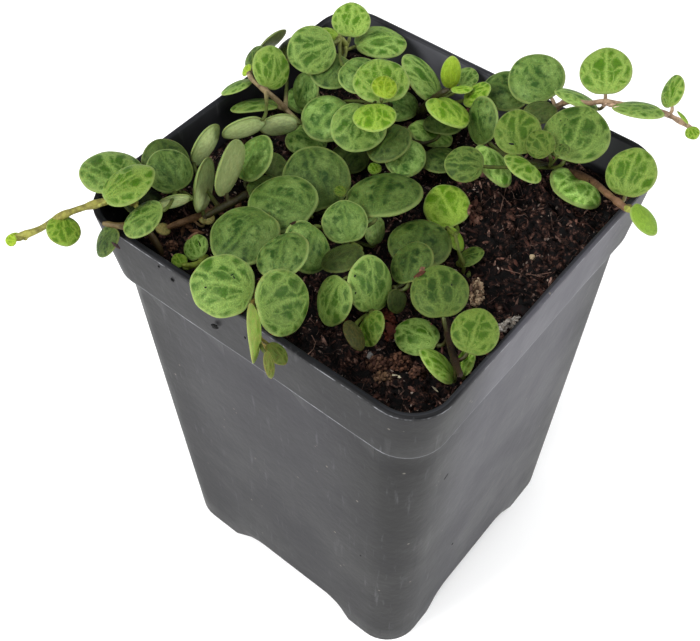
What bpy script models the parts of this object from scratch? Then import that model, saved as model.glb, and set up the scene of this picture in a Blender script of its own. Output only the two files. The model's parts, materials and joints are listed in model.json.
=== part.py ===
"""A string of turtles growing in a small square nursery pot.

The pot is a thin wall with a rim band, standing on four corner feet. It holds a block of potting
soil, and each leafy stem stands in a plain hole in that soil. All sizes below are in millimetres.
"""

import math
from collections import namedtuple

import bmesh
import bpy
import numpy as np

MM = 0.001

# Where the pot's axis stands, so that the origin is under the middle of pot and plant together
POT_AXIS = (-1.6, 1.9, 0.0)

# Pot
POT_HEIGHT = 91.0
RIM_HALF = 32.5
BAND_HALF = 31.15
NECK_HALF = 30.1
FOOT_HALF = 27.6
BAND_TALL = 13.0
STEP_TALL = 1.3
WALL = 1.1
RIM_CORNER = 6.4
FOOT_CORNER = 7.4
CORNER_STEPS = 5
BASE_UNDER = 6.2
BASE_THICK = 1.2
ARCH_TALL = 5.5
ARCH_HALF_LOW = 16.0
ARCH_HALF_HIGH = 13.0
DRAIN_RADIUS = 3.5
DRAIN_OFFSET = 15.0
DRAIN_SIDES = 16

# Soil
SOIL_TOP = 83.8
SOIL_GAP = 0.3
SOIL_RINGS = (1.0, 0.86, 0.7, 0.53, 0.36, 0.18)
SOIL_BUMP = 0.6
SOIL_EDGE_DROP = 0.5
SOIL_SEED = 7

# Stems and leaves
STEM_RADIUS = 0.68
TIP_RADIUS = 0.5
STEM_SIDES = 6
STEM_PITCH = 2.4
PETIOLE_RADIUS = 0.42
PETIOLE_SIDES = 4
HOLE_FOOT = SOIL_TOP - 8.0
HOLE_GAP = 0.3
HOLE_SIDES = 8
SPROUT = 1.6
LEAF_POINTS = 12
LEAF_RING = 0.62
LEAF_THICK = 0.085
LEAF_DOME = 0.05

# How the leaves lie: each spot is read on the rim plane, as seen from EYE
EYE = np.array([70.0, -93.4, 205.2])
PICTURE_UP = np.array([-0.480, 0.623, 0.618])
SIGHT_PLANE = 92.0
LEAF_CLEAR = 0.35
RIM_CLEAR = 0.5
SOIL_CLEAR = 1.2
LIFT_LIMIT = 7.0
LIFT_ROUNDS = 14

# Ages run from an old pale underside to a fresh bud
OLD, MATURE, GREEN, FRESH, YOUNG, BUD = 0.0, 0.15, 0.4, 0.65, 0.85, 1.0

Leaf = namedtuple("Leaf", "u v size away clock root age over least slim", defaults=(0, 0, 1.0))
Stem = namedtuple("Stem", "name hole route leaves")

# u and v give a leaf's spot on the rim plane, size its longest diameter, away the angle in degrees
# between its face and the sight line, clock the way its face turns on a dial whose top is the
# picture's top, root the way to its stalk on the same dial. A leaf with a larger over lies nearer
# the top of the pile, least is the lowest height it may take, below zero where it hangs in the
# open at that height, and slim is its width over its length.
STEMS = [
    Stem("left_trailing", (-26.5, -22), [(-23.5, -27, 89), (-26.5, -27.5, 93.5), (-29, -31, 93.8),
         (-31, -35.5, 93), (-31.5, -39.5, 91.5), (-33, -43, 90.5)], [
        Leaf(-32.5, -24.5, 9.5, 50, 350, 150, GREEN, -2),
        Leaf(-28.5, -25, 8.4, 54, 325, 235, FRESH),
        Leaf(-24, -26, 6, 45, 0, 160, MATURE, -10),
        Leaf(-28.7, -37.3, 5, 30, 20, 345, YOUNG, 0, -92),
        Leaf(-33, -42.5, 2, 50, 0, 100, BUD, 0, -90.5),
        Leaf(-33, -43.5, 1.8, 30, 270, 90, BUD, 0, -90.5),
    ]),
    Stem("left_corner", (-23.5, -17.5), [(-19.5, -21.5, 87), (-22, -21, 90)], [
        Leaf(-25.5, -19, 7.2, 22, 0, 150, MATURE),
        Leaf(-27.5, -17.8, 7.5, 25, 0, 160, MATURE),
        Leaf(-21.5, -28.5, 6.8, 55, 315, 60, GREEN, 0, 94.3),
        Leaf(-20.5, -23, 5.2, 112, 345, 75, OLD, 0, 0, 0.9),
    ]),
    Stem("left_stub", (-20.5, -27.5), [(-20.9, -29.4, 89.8), (-22.2, -31.2, 92.1), (-25.2, -32.9, 92.2)], [
        Leaf(-22.3, -35, 5.2, 48, 280, 30, MATURE, 0, -90.5, 0.8),
    ]),
    Stem("old_runner", (-17, -13.5), [(-13.3, -18, 85.3), (-15.7, -24, 85.3), (-17.3, -27.6, 85.6)], [
        Leaf(-14.2, -22.6, 2.6, 38, 0, 200, OLD),
        Leaf(-17.6, -28.1, 2.4, 40, 20, 80, OLD),
    ]),
    Stem("left_fan", (-17.5, -7), [(-13, -16, 87.8), (-14, -20, 88), (-14.5, -22.5, 88)], [
        Leaf(-19.4, -18.2, 8.8, 108, 279, 186, OLD),
        Leaf(-19, -13, 9, 112, 288, 190, OLD),
        Leaf(-17.5, -9, 8, 52, 300, 205, MATURE),
        Leaf(-25.5, -11.5, 7.6, 112, 300, 215, OLD),
        Leaf(-11.5, -12.7, 6, 40, 0, 250, MATURE, -10),
        Leaf(-14, -8, 5, 40, 30, 200, OLD, -10),
    ]),
    Stem("left_climber", (-22, 7), [(-19, 2, 88), (-23.5, 3.5, 92), (-29, 4.5, 95), (-31.5, 5.5, 96)], [
        Leaf(-23.5, -4.5, 7.3, 112, 340, 60, OLD),
        Leaf(-19.5, -0.5, 6.6, 120, 350, 80, OLD),
        Leaf(-25.5, 0.5, 8, 77, 352, 85, GREEN),
        Leaf(-31, 2, 5.5, 75, 335, 60, GREEN),
        Leaf(-29.5, 9, 7, 34, 80, 190, FRESH),
        Leaf(-32.5, 6, 2.2, 60, 300, 140, BUD, 3),
        Leaf(-34.5, 14.5, 6, 105, 320, 215, OLD, -2),
        Leaf(-31, 15.5, 5.5, 62, 330, 200, GREEN, -2),
        Leaf(-33.7, 9.2, 4.5, 58, 300, 170, GREEN, -3),
        Leaf(-14, -0.5, 7, 42, 0, 290, MATURE, -12),
        Leaf(-20.5, 6.5, 6, 38, 0, 120, MATURE, -15),
    ]),
    Stem("back_corner", (-24.5, 22), [(-22, 18.5, 89), (-24, 21.5, 94), (-26, 22.5, 96)], [
        Leaf(-27.5, 17, 8, 15, 0, 70, GREEN, 2),
        Leaf(-28, 22, 3.5, 50, 10, 100, YOUNG, 6),
        Leaf(-27.5, 27.5, 6.6, 30, 0, 185, FRESH, 8),
        Leaf(-20, 26, 9, 55, 5, 265, GREEN),
        Leaf(-21.5, 15, 7.4, 38, 0, 40, MATURE, -6),
        Leaf(-17, 17, 7.4, 38, 0, 300, MATURE, -5),
        Leaf(-21.5, 8, 6.2, 45, 270, 20, MATURE, -12),
    ]),
    Stem("back_middle", (-13, 20), [(-9.2, 13.8, 90.6), (-10.8, 14.8, 95.6)], [
        Leaf(-13.5, 18, 9, 40, 0, 165, FRESH, 0),
        Leaf(-12, 17, 4.2, 35, 20, 190, BUD, 3),
        Leaf(-9, 10.5, 6.8, 52, 355, 350, YOUNG, 7),
        Leaf(-14.5, 5.5, 8.7, 30, 0, 40, MATURE),
        Leaf(-9.5, 7, 9, 32, 0, 15, GREEN, 2),
        Leaf(-7.5, 15, 6.6, 38, 0, 300, MATURE, -12),
        Leaf(-12.5, 19, 6.8, 38, 0, 200, MATURE, -15),
    ]),
    Stem("back_sprig", (-8, 22), [(-4, 17, 89), (-4, 21, 94), (-3.5, 23, 95.5)], [
        Leaf(-5.5, 26.5, 5.6, 22, 180, 185, BUD, 3, 0, 0.6),
        Leaf(-3, 27.5, 4, 35, 0, 210, GREEN, -1),
        Leaf(-2, 24.5, 3.6, 65, 0, 265, YOUNG, 4, 0, 0.8),
        Leaf(0.5, 25, 5.2, 55, 320, 250, YOUNG, 1),
        Leaf(-0.5, 19, 7.6, 60, 25, 320, YOUNG, 3),
        Leaf(-8.5, 23, 9.3, 62, 52, 140, GREEN, 0),
    ]),
    Stem("middle", (-2.5, 16.5), [(0.5, 9.5, 87), (-2, 9, 89)], [
        Leaf(-3.5, 7, 7.6, 45, 330, 40, MATURE, -3),
        Leaf(0.5, 6, 6.8, 25, 0, 20, MATURE, -7),
        Leaf(5, 9, 6.4, 50, 0, 300, MATURE, -8),
        Leaf(0.5, 16, 6.5, 55, 0, 200, MATURE, -2),
        Leaf(0.3, 13, 7.8, 60, 20, 300, GREEN, -6),
    ]),
    Stem("overhang", (9, 26), [(12.5, 30, 92), (13.5, 33, 96), (16, 34.5, 97), (18, 36.5, 97),
         (23.5, 39, 96.5), (27, 40, 96), (32, 39.5, 95)], [
        Leaf(6, 34.5, 9.2, 30, 350, 140, MATURE, 4),
        Leaf(4, 29, 8, 35, 0, 110, MATURE),
        Leaf(11, 28, 5.4, 50, 0, 60, OLD, -4),
        Leaf(14, 34.5, 7.4, 76, 25, 110, GREEN, 0, 96),
        Leaf(14, 43.3, 8.1, 28, 0, 180, FRESH, 0, 99),
        Leaf(23, 38.5, 7.8, 74, 10, 95, GREEN, 0, 97.5),
        Leaf(25, 45.5, 5.4, 50, 300, 185, FRESH, 0, 98.5, 0.85),
        Leaf(29.5, 41, 2.6, 75, 50, 140, YOUNG, 0, 97, 0.5),
        Leaf(32.3, 38.7, 2.2, 25, 0, 330, YOUNG, 0, 96),
    ]),
    Stem("right_clump", (12, 22), [(17, 17.5, 88), (19, 18, 90)], [
        Leaf(11, 21.5, 7.2, 18, 0, 175, FRESH, 4),
        Leaf(15.2, 21.5, 4.5, 20, 0, 140, YOUNG, 7),
        Leaf(18.5, 22.5, 2.4, 40, 0, 220, BUD, 8),
        Leaf(18.3, 27, 10.2, 34, 5, 205, GREEN),
        Leaf(5, 20, 7.8, 52, 270, 165, MATURE),
        Leaf(12.2, 13.3, 8, 63, 50, 340, GREEN, -6),
        Leaf(16, 15.5, 6.5, 67, 35, 70, FRESH),
        Leaf(8.6, 10.5, 6, 22, 0, 95, GREEN),
    ]),
    Stem("right_runner", (18, 25), [(25, 19.5, 89), (29, 18.5, 92.8), (33, 17.5, 94)], [
        Leaf(24.5, 17, 9.2, 60, 35, 80, GREEN),
        Leaf(29.3, 24.7, 7.6, 20, 330, 195, FRESH, 0, 95),
        Leaf(35.7, 17.5, 5.3, 50, 60, 320, YOUNG, 0, 95, 0.8),
    ]),
    Stem("left_centre", (-9, -8), [(-6, -14, 87), (-8.5, -16.5, 88)], [
        Leaf(-7, -6.3, 10.7, 18, 0, 160, MATURE),
        Leaf(-7.7, -13.2, 10.8, 38, 340, 110, MATURE),
        Leaf(-7.8, -21.5, 10.6, 36, 340, 45, MATURE),
        Leaf(-6, 0.5, 6.5, 40, 0, 200, MATURE, -12),
        Leaf(-9.3, -10, 5.4, 38, 0, 130, MATURE, -15),
    ]),
    Stem("centre", (0.5, -8), [(3, -13.5, 87)], [
        Leaf(1, -17.5, 7.9, 38, 65, 20, MATURE),
        Leaf(2, -10.5, 6.9, 22, 0, 170, MATURE),
        Leaf(6, -16, 6.4, 55, 340, 60, OLD),
        Leaf(6.5, -9, 4.8, 48, 90, 170, OLD, -10),
        Leaf(2.8, -2.4, 11.8, 56, 350, 200, MATURE, -2),
        Leaf(-1.5, 1, 2.3, 35, 0, 150, YOUNG, 2),
        Leaf(-2.5, -6, 1.9, 25, 0, 120, YOUNG, 5),
    ]),
    Stem("front", (-4, -22), [(1.5, -29.5, 91), (3, -31.5, 94), (6, -34, 93), (9, -35, 90.5)], [
        Leaf(-3.5, -30.5, 9, 14, 320, 100, GREEN, 1),
        Leaf(5, -27.5, 9.2, 38, 85, 250, GREEN, 1),
        Leaf(5.5, -33.8, 8, 80, 85, 0, FRESH, 2, -93.5, 0.8),
        Leaf(10, -34.5, 3.6, 50, 45, 320, FRESH, 0, -93),
        Leaf(10.5, -36.5, 3.6, 70, 80, 345, FRESH, 0, -91.5),
        Leaf(-1, -21, 8, 45, 325, 195, MATURE, 2),
    ]),
    Stem("front_left", (-13.5, -24.5), [(-9, -30, 86), (-10.5, -31.5, 87)], [
        Leaf(-11.5, -31, 2.4, 30, 0, 150, YOUNG),
        Leaf(-11.5, -27.8, 4.2, 35, 300, 160, GREEN),
    ]),
    Stem("front_middle", (10, -14), [(15.5, -20.5, 86), (15, -17, 87.5)], [
        Leaf(10, -23, 7.3, 48, 275, 20, GREEN, 1),
        Leaf(12.5, -17.5, 8.2, 40, 90, 175, GREEN),
        Leaf(14.2, -10.8, 7, 42, 315, 190, MATURE),
        Leaf(12.9, -6.9, 9.5, 40, 0, 180, MATURE),
        Leaf(17, -17.5, 3.6, 40, 90, 0, OLD, -2),
        Leaf(17, -23.5, 5.3, 52, 290, 350, FRESH),
        Leaf(16.2, -25.7, 4.6, 60, 60, 10, OLD, -1),
    ]),
    Stem("front_right", (19.5, -10), [(25, -17, 86.5), (28, -20, 88.5), (31, -22.3, 92)], [
        Leaf(20.5, -12.5, 8.2, 24, 0, 170, GREEN),
        Leaf(28.3, -15.2, 6.6, 18, 0, 200, FRESH),
        Leaf(22.7, -20.6, 6.5, 35, 0, 110, GREEN),
        Leaf(27.8, -22.6, 6.3, 64, 45, 130, FRESH),
        Leaf(30.1, -20.2, 4.3, 56, 290, 190, FRESH, -8),
    ]),
    Stem("right_centre", (17.5, -1.5), [(18.5, -5, 87.5), (16, -2.5, 89.5)], [
        Leaf(11.7, 1.4, 7.3, 22, 0, 150, YOUNG),
        Leaf(16.5, -3, 4, 58, 60, 330, YOUNG),
        Leaf(20, -4.5, 4.2, 52, 330, 250, GREEN),
    ]),
]


def unit(vector):
    return vector / np.linalg.norm(vector)


def on_sight_line(u, v, z):
    """The point at height z that is seen from EYE at spot (u, v) of the rim plane."""
    spot = np.array([u, v, SIGHT_PLANE])
    return EYE + (spot - EYE) * ((z - EYE[2]) / (SIGHT_PLANE - EYE[2]))


def picture_axes(point):
    sight = unit(EYE - point)
    across = unit(np.cross(PICTURE_UP, sight))
    return sight, across, np.cross(sight, across)


def dial(across, upward, degrees):
    turn = math.radians(degrees)
    return math.sin(turn) * across + math.cos(turn) * upward


class Blade:
    """One leaf blade: its middle, its face's normal and the way from its middle to its root."""

    def __init__(self, leaf, stem_name):
        self.leaf = leaf
        self.stem = stem_name
        self.half = leaf.size / 2
        self.wide = self.half * leaf.slim
        self.set_height(max(leaf.least, SOIL_TOP + SOIL_CLEAR))

    def set_height(self, z):
        leaf = self.leaf
        self.middle = on_sight_line(leaf.u, leaf.v, z)
        sight, across, upward = picture_axes(self.middle)
        away = math.radians(leaf.away)
        self.normal = math.cos(away) * sight + math.sin(away) * dial(across, upward, leaf.clock)
        root = dial(across, upward, leaf.root)
        facing = self.normal @ sight
        facing = math.copysign(max(abs(facing), 0.2), facing)
        root = root - sight * (self.normal @ root) / facing
        self.root = unit(root - self.normal * (self.normal @ root))
        self.side = np.cross(self.normal, self.root)

    def at(self, side, root, up=0.0):
        return self.middle + self.side * side + self.root * root + self.normal * up

    def samples(self):
        points = [self.middle]
        for share, count in ((0.4, 6), (0.75, 10), (1.0, 16)):
            for k in range(count):
                turn = 2 * math.pi * k / count
                side = share * self.wide * math.sin(turn)
                points.append(self.at(side, share * self.half * math.cos(turn)))
        return np.array(points)

    def half_thickness(self, share):
        return 0.1 + LEAF_THICK * self.leaf.size * (1 - share**2)


def hits(blade, directions):
    """How far along each direction from EYE the blade's plane lies, and how far out on the blade."""
    facing = directions @ blade.normal
    facing = np.where(np.abs(facing) < 1e-3, 1e-3, facing)
    distance = ((blade.middle - EYE) @ blade.normal) / facing
    offset = EYE + directions * distance[:, None] - blade.middle
    share = np.hypot(offset @ blade.side / blade.wide, offset @ blade.root / blade.half)
    return distance, share


def lift_over(upper, lower):
    """How far the upper blade must come towards EYE to lie wholly in front of the lower one."""
    if np.linalg.norm(upper.middle - lower.middle) > upper.half + lower.half + 12:
        return 0.0
    directions = np.vstack([upper.samples(), lower.samples()]) - EYE
    directions /= np.linalg.norm(directions, axis=1)[:, None]
    far, share_low = hits(lower, directions)
    near, share_up = hits(upper, directions)
    both = (share_low <= 1.02) & (share_up <= 1.02)
    if not both.any():
        return 0.0
    directions = directions[both]
    low_face = np.maximum(np.abs(directions @ lower.normal), 0.3)
    up_face = np.maximum(np.abs(directions @ upper.normal), 0.3)
    room = lower.half_thickness(np.minimum(share_low[both], 1)) / low_face
    room = room + upper.half_thickness(np.minimum(share_up[both], 1)) / up_face + LEAF_CLEAR
    return float(np.max(near[both] - far[both] + room))


def lift_off_ground(blade):
    """How far the blade must rise to clear the soil inside the pot and the rim over its walls."""
    lift = 0.0
    for point in blade.samples()[1:]:
        over_wall = max(abs(point[0]), abs(point[1])) > RIM_HALF - WALL - 0.9
        floor = POT_HEIGHT + RIM_CLEAR if over_wall else SOIL_TOP + SOIL_CLEAR
        lift = max(lift, floor - point[2])
    return lift


def row_of(blade):
    """How far towards the viewer the leaf's spot lies on the rim plane, in millimetres."""
    towards = unit(np.array([EYE[0], EYE[1]]))
    return blade.leaf.u * towards[0] + blade.leaf.v * towards[1] + blade.leaf.over


def settle(stems):
    """Lays the blades in the pot one on another, from the far side of the picture to the near one."""
    blades = [Blade(leaf, stem.name) for stem in stems for leaf in stem.leaves]
    laid = []
    for blade in sorted(blades, key=row_of):
        hangs = blade.leaf.least < 0
        if hangs:
            blade.set_height(-blade.leaf.least)
        for _ in range(LIFT_ROUNDS):
            lift = 0.0 if hangs else lift_off_ground(blade)
            lift = max([lift] + [lift_over(blade, lower) for lower in laid])
            if lift <= 0.02:
                break
            blade.set_height(blade.middle[2] + min(lift, LIFT_LIMIT) * (0.8 if lift > 0.3 else 1.0))
        laid.append(blade)
    return laid


def smooth_route(points, pitch):
    """Points along a Catmull-Rom curve through the given points, about pitch apart."""
    points = [np.array(p, float) for p in points]
    ends = [2 * points[0] - points[1]] + points + [2 * points[-1] - points[-2]]
    out = []
    for a, b, c, d in zip(ends, ends[1:], ends[2:], ends[3:]):
        count = max(1, round(np.linalg.norm(c - b) / pitch))
        for k in range(count):
            t = k / count
            out.append(0.5 * (2 * b + (c - a) * t + (2 * a - 5 * b + 4 * c - d) * t**2
                              + (3 * b - a - 3 * c + d) * t**3))
    return out + [points[-1]]


def stem_route(stem):
    """The stem's middle line, from the foot of its hole in the soil to its tip."""
    heights = (HOLE_FOOT + HOLE_GAP, SOIL_TOP, SOIL_TOP + SPROUT)
    foot, neck, sprout = [np.array([*stem.hole, z]) for z in heights]
    above = [on_sight_line(*spot) for spot in stem.route]
    return smooth_route([foot, neck, sprout] + above, STEM_PITCH)


def petiole_route(blade, route):
    """The stalk's middle line, from inside the blade's root edge to the nearest point of the stem."""
    inside = blade.at(0, 0.7 * blade.half)
    bend = blade.at(0, blade.half + 0.8, -0.7)
    above = [p for p in route if p[2] > SOIL_TOP + 1]
    joint = min(above, key=lambda p: np.linalg.norm(p - bend))
    steps = 2 if np.linalg.norm(joint - inside) < 6 else 3
    return [inside * (1 - t) ** 2 + bend * 2 * t * (1 - t) + joint * t**2
            for t in (k / steps for k in range(steps + 1))]


def new_object(name, bm, material):
    """Makes an object of a mesh built round the pot's axis, and stands it on that axis."""
    mesh = bpy.data.meshes.new(name)
    bmesh.ops.recalc_face_normals(bm, faces=bm.faces)
    bmesh.ops.translate(bm, verts=bm.verts, vec=[c * MM for c in POT_AXIS])
    bm.to_mesh(mesh)
    bm.free()
    mesh.materials.append(material)
    piece = bpy.data.objects.new(name, mesh)
    bpy.context.scene.collection.objects.link(piece)
    return piece


def loft(bm, rings, capped=True):
    """Joins rings of points with quads and closes both ends."""
    rows = [[bm.verts.new([c * MM for c in p]) for p in ring] for ring in rings]
    for low, high in zip(rows, rows[1:]):
        for k in range(len(low)):
            after = (k + 1) % len(low)
            bm.faces.new([low[k], low[after], high[after], high[k]])
    if capped:
        bm.faces.new(list(reversed(rows[0])))
        bm.faces.new(rows[-1])
    return rows


def rounded_square(half, corner, z):
    """A square ring with round corners, the same number of points whatever its size."""
    ring = []
    for quarter in range(4):
        turn = quarter * math.pi / 2
        away = half - corner
        cx = away * (math.cos(turn) - math.sin(turn))
        cy = away * (math.sin(turn) + math.cos(turn))
        for k in range(CORNER_STEPS + 1):
            angle = turn + k * math.pi / 2 / CORNER_STEPS
            ring.append((cx + corner * math.cos(angle), cy + corner * math.sin(angle), z))
    return ring


def tube(bm, route, radius, tip_radius, sides):
    """A closed tube along a route, tapering from one radius to the other."""
    rings = []
    across = None
    for k, point in enumerate(route):
        ahead = unit(route[min(k + 1, len(route) - 1)] - route[max(k - 1, 0)])
        if across is None:
            across = np.cross(ahead, (0.3, 0.9, 0.2))
        across = unit(across - ahead * (across @ ahead))
        beside = np.cross(ahead, across)
        size = radius + (tip_radius - radius) * k / (len(route) - 1)
        turns = [2 * math.pi * j / sides for j in range(sides)]
        rings.append([point + size * (math.cos(t) * across + math.sin(t) * beside) for t in turns])
    loft(bm, rings)


def leaf_reach(turn, leaf):
    """How far the blade's edge lies from its middle, as a share, at a turn from its root."""
    notch = 0.07 * math.exp(-((turn / 0.35) ** 2))
    point = (0.03 + 0.05 * leaf.age) * math.exp(-(((turn - math.pi) / 0.4) ** 2))
    return 1.0 - notch + point


def blade_solid(bm, blade):
    """A thick lens with a slightly pointed tip, its edge a little lower than its middle."""
    size = blade.leaf.size
    drop = LEAF_DOME * size
    rise = LEAF_THICK * size
    edge = []
    ring = []
    for k in range(LEAF_POINTS):
        turn = 2 * math.pi * k / LEAF_POINTS
        reach = leaf_reach(min(turn, 2 * math.pi - turn) if k else 0.0, blade.leaf)
        side = blade.wide * math.sin(turn) * reach
        root = blade.half * math.cos(turn) * reach
        edge.append(bm.verts.new(blade.at(side, root, -drop) * MM))
        up = rise * (1 - LEAF_RING**2) ** 0.5 - drop * LEAF_RING**2
        ring.append(bm.verts.new(blade.at(side * LEAF_RING, root * LEAF_RING, up) * MM))
    top = bm.verts.new(blade.at(0, 0, rise) * MM)
    under = bm.verts.new(blade.at(0, 0, -rise) * MM)
    for k in range(LEAF_POINTS):
        after = (k + 1) % LEAF_POINTS
        bm.faces.new([edge[k], edge[after], ring[after], ring[k]])
        bm.faces.new([ring[k], ring[after], top])
        bm.faces.new([edge[after], edge[k], under])


def boolean_all(piece, helpers, operation):
    """Joins the helper solids to the piece, or cuts them out of it, by one Boolean, and removes them."""
    group = bpy.data.collections.new(piece.name + "_helpers")
    bpy.context.scene.collection.children.link(group)
    for helper in helpers:
        bpy.context.scene.collection.objects.unlink(helper)
        group.objects.link(helper)
    boolean = piece.modifiers.new("boolean", "BOOLEAN")
    boolean.operation = operation
    boolean.operand_type = "COLLECTION"
    boolean.collection = group
    apply_modifiers(piece)
    for helper in helpers:
        bpy.data.objects.remove(helper)
    bpy.data.collections.remove(group)


def apply_modifiers(piece):
    bpy.context.view_layer.update()
    graph = bpy.context.evaluated_depsgraph_get()
    made = bpy.data.meshes.new_from_object(piece.evaluated_get(graph))
    piece.modifiers.clear()
    old = piece.data
    piece.data = made
    bpy.data.meshes.remove(old)


def make_material(name, colour, roughness, metallic=0.0):
    material = bpy.data.materials.new(name)
    material.use_nodes = True
    shader = material.node_tree.nodes["Principled BSDF"]
    shader.inputs["Base Color"].default_value = (*colour, 1.0)
    shader.inputs["Roughness"].default_value = roughness
    shader.inputs["Metallic"].default_value = metallic
    return material


def arch_cutter(material, turned):
    """A bar under the pot whose cross-section is the gap between two feet."""
    reach = RIM_HALF + 5
    low = ARCH_HALF_LOW + 1
    high = ARCH_HALF_HIGH
    outline = [(-low, -1), (low, -1), (high, ARCH_TALL), (-high, ARCH_TALL)]
    rings = []
    for along in (-reach, reach):
        rings.append([(x, along, z) if not turned else (along, x, z) for x, z in outline])
    bm = bmesh.new()
    loft(bm, rings)
    return new_object("arch_cutter", bm, material)


def upright_bar(name, centre, radius, low, high, sides, material):
    bm = bmesh.new()
    ring = [(centre[0] + radius * math.cos(2 * math.pi * k / sides),
             centre[1] + radius * math.sin(2 * math.pi * k / sides)) for k in range(sides)]
    loft(bm, [[(x, y, low) for x, y in ring], [(x, y, high) for x, y in ring]])
    return new_object(name, bm, material)


def half_at(z):
    """Half the pot body's outer width at a height below the rim band."""
    neck = POT_HEIGHT - BAND_TALL - STEP_TALL
    return FOOT_HALF + (NECK_HALF - FOOT_HALF) * z / neck


def corner_at(z):
    return FOOT_CORNER + (RIM_CORNER - FOOT_CORNER) * z / POT_HEIGHT


def make_pot(material):
    band_low = POT_HEIGHT - BAND_TALL
    neck = band_low - STEP_TALL
    floor = BASE_UNDER + BASE_THICK
    outer = [(half_at(0), 0), (half_at(neck), neck), (BAND_HALF, band_low), (RIM_HALF, POT_HEIGHT)]
    inner = [(RIM_HALF - WALL, POT_HEIGHT), (BAND_HALF - WALL, band_low),
             (half_at(neck) - WALL, neck - 0.6), (half_at(floor) - WALL, floor)]
    under = [(half_at(BASE_UNDER) - WALL, BASE_UNDER), (half_at(0) - WALL, 0)]
    bm = bmesh.new()
    skin = [rounded_square(h, corner_at(z), z) for h, z in outer]
    skin += [rounded_square(h, corner_at(z) - WALL, z) for h, z in inner]
    rows = loft(bm, skin, capped=False)
    bm.faces.new(rows[-1])
    skirt = [rounded_square(h, corner_at(z) - WALL, z) for h, z in under]
    skirt_rows = loft(bm, skirt, capped=False)
    bm.faces.new(skirt_rows[0])
    for k in range(len(skirt_rows[1])):
        after = (k + 1) % len(skirt_rows[1])
        bm.faces.new([rows[0][k], rows[0][after], skirt_rows[1][after], skirt_rows[1][k]])
    pot = new_object("pot", bm, material)
    cutters = [arch_cutter(material, False), arch_cutter(material, True)]
    spots = [(0, 0)] + [(sx * DRAIN_OFFSET, sy * DRAIN_OFFSET) for sx in (-1, 1) for sy in (-1, 1)]
    for spot in spots:
        cutters.append(upright_bar("drain_cutter", spot, DRAIN_RADIUS, BASE_UNDER - 1, floor + 1,
                                   DRAIN_SIDES, material))
    boolean_all(pot, cutters, "DIFFERENCE")
    return pot


def make_soil(material, stems):
    """A block that fills the pot, with a bumpy top and a plain hole for each stem."""
    draw = np.random.default_rng(SOIL_SEED)
    low = BASE_UNDER + BASE_THICK + SOIL_GAP
    band_low = POT_HEIGHT - BAND_TALL
    neck = band_low - STEP_TALL
    gap = WALL + SOIL_GAP
    top_half = BAND_HALF + (RIM_HALF - BAND_HALF) * (SOIL_TOP - band_low) / BAND_TALL - gap
    shoulder = gap + 0.1
    sides = [(half_at(low) - gap, low), (half_at(neck - 0.6) - shoulder, neck - 0.9),
             (BAND_HALF - shoulder, band_low)]
    rings = [rounded_square(h, corner_at(z) - gap, z) for h, z in sides]
    for share in SOIL_RINGS:
        ring = rounded_square(top_half * share, (corner_at(SOIL_TOP) - gap) * share, SOIL_TOP)
        bump = SOIL_BUMP * (0.3 if share == 1.0 else 1.0)
        sunk = SOIL_EDGE_DROP if share == 1.0 else 0.0
        rings.append([(x, y, z - sunk + draw.uniform(-bump, bump)) for x, y, z in ring])
    bm = bmesh.new()
    loft(bm, rings)
    soil = new_object("soil", bm, material)
    cutters = []
    for stem in stems:
        cutters.append(upright_bar("stem_hole", stem.hole, STEM_RADIUS + HOLE_GAP, HOLE_FOOT, SOIL_TOP + 3,
                                   HOLE_SIDES, material))
    boolean_all(soil, cutters, "DIFFERENCE")
    return soil


def make_stem(stem, blades, material):
    """One leafy stem: its tube, its stalks and its leaves, joined into one solid."""
    route = stem_route(stem)
    bm = bmesh.new()
    tube(bm, route, STEM_RADIUS, TIP_RADIUS, STEM_SIDES)
    piece = new_object("stem_" + stem.name, bm, material)
    helpers = []
    for blade in blades:
        bm = bmesh.new()
        radius = PETIOLE_RADIUS * min(1.0, blade.leaf.size / 4)
        tube(bm, petiole_route(blade, route), radius, radius, PETIOLE_SIDES)
        helpers.append(new_object("stalk", bm, material))
        bm = bmesh.new()
        blade_solid(bm, blade)
        helpers.append(new_object("blade", bm, material))
    boolean_all(piece, helpers, "UNION")
    return piece


def main():
    for old in list(bpy.data.objects):
        bpy.data.objects.remove(old, do_unlink=True)
    plastic = make_material("dark_grey_plastic", (0.10, 0.105, 0.11), 0.5)
    earth = make_material("potting_soil", (0.03, 0.018, 0.012), 0.95)
    foliage = make_material("turtle_leaf_green", (0.16, 0.30, 0.09), 0.45)
    make_pot(plastic)
    make_soil(earth, STEMS)
    blades = settle(STEMS)
    for stem in STEMS:
        make_stem(stem, [blade for blade in blades if blade.stem == stem.name], foliage)


main()
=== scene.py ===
# %% [markdown]
# A string of turtles in a square nursery pot
#
# The plant is a small creeping peperomia. Its thin stems run over the soil and hang over the rim, and
# each one carries round, thick leaves with a pale net of veins, like the shell of a turtle. The pot is
# a thin dark plastic moulding on four corner feet. This lesson models the pot, the soil and every leafy
# stem, gives each its finish, and sets up the camera and the light.
#
# The finished pieces take the place of plainer solids, which are loaded first. They stay in the same
# place, so the plain solids' driving sizes are repeated here, in millimetres, round the pot's own axis.

# %% Load the frame
import math
from collections import namedtuple
import json

import bmesh
import bpy
import numpy as np
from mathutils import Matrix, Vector, noise
from mathutils.bvhtree import BVHTree

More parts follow.
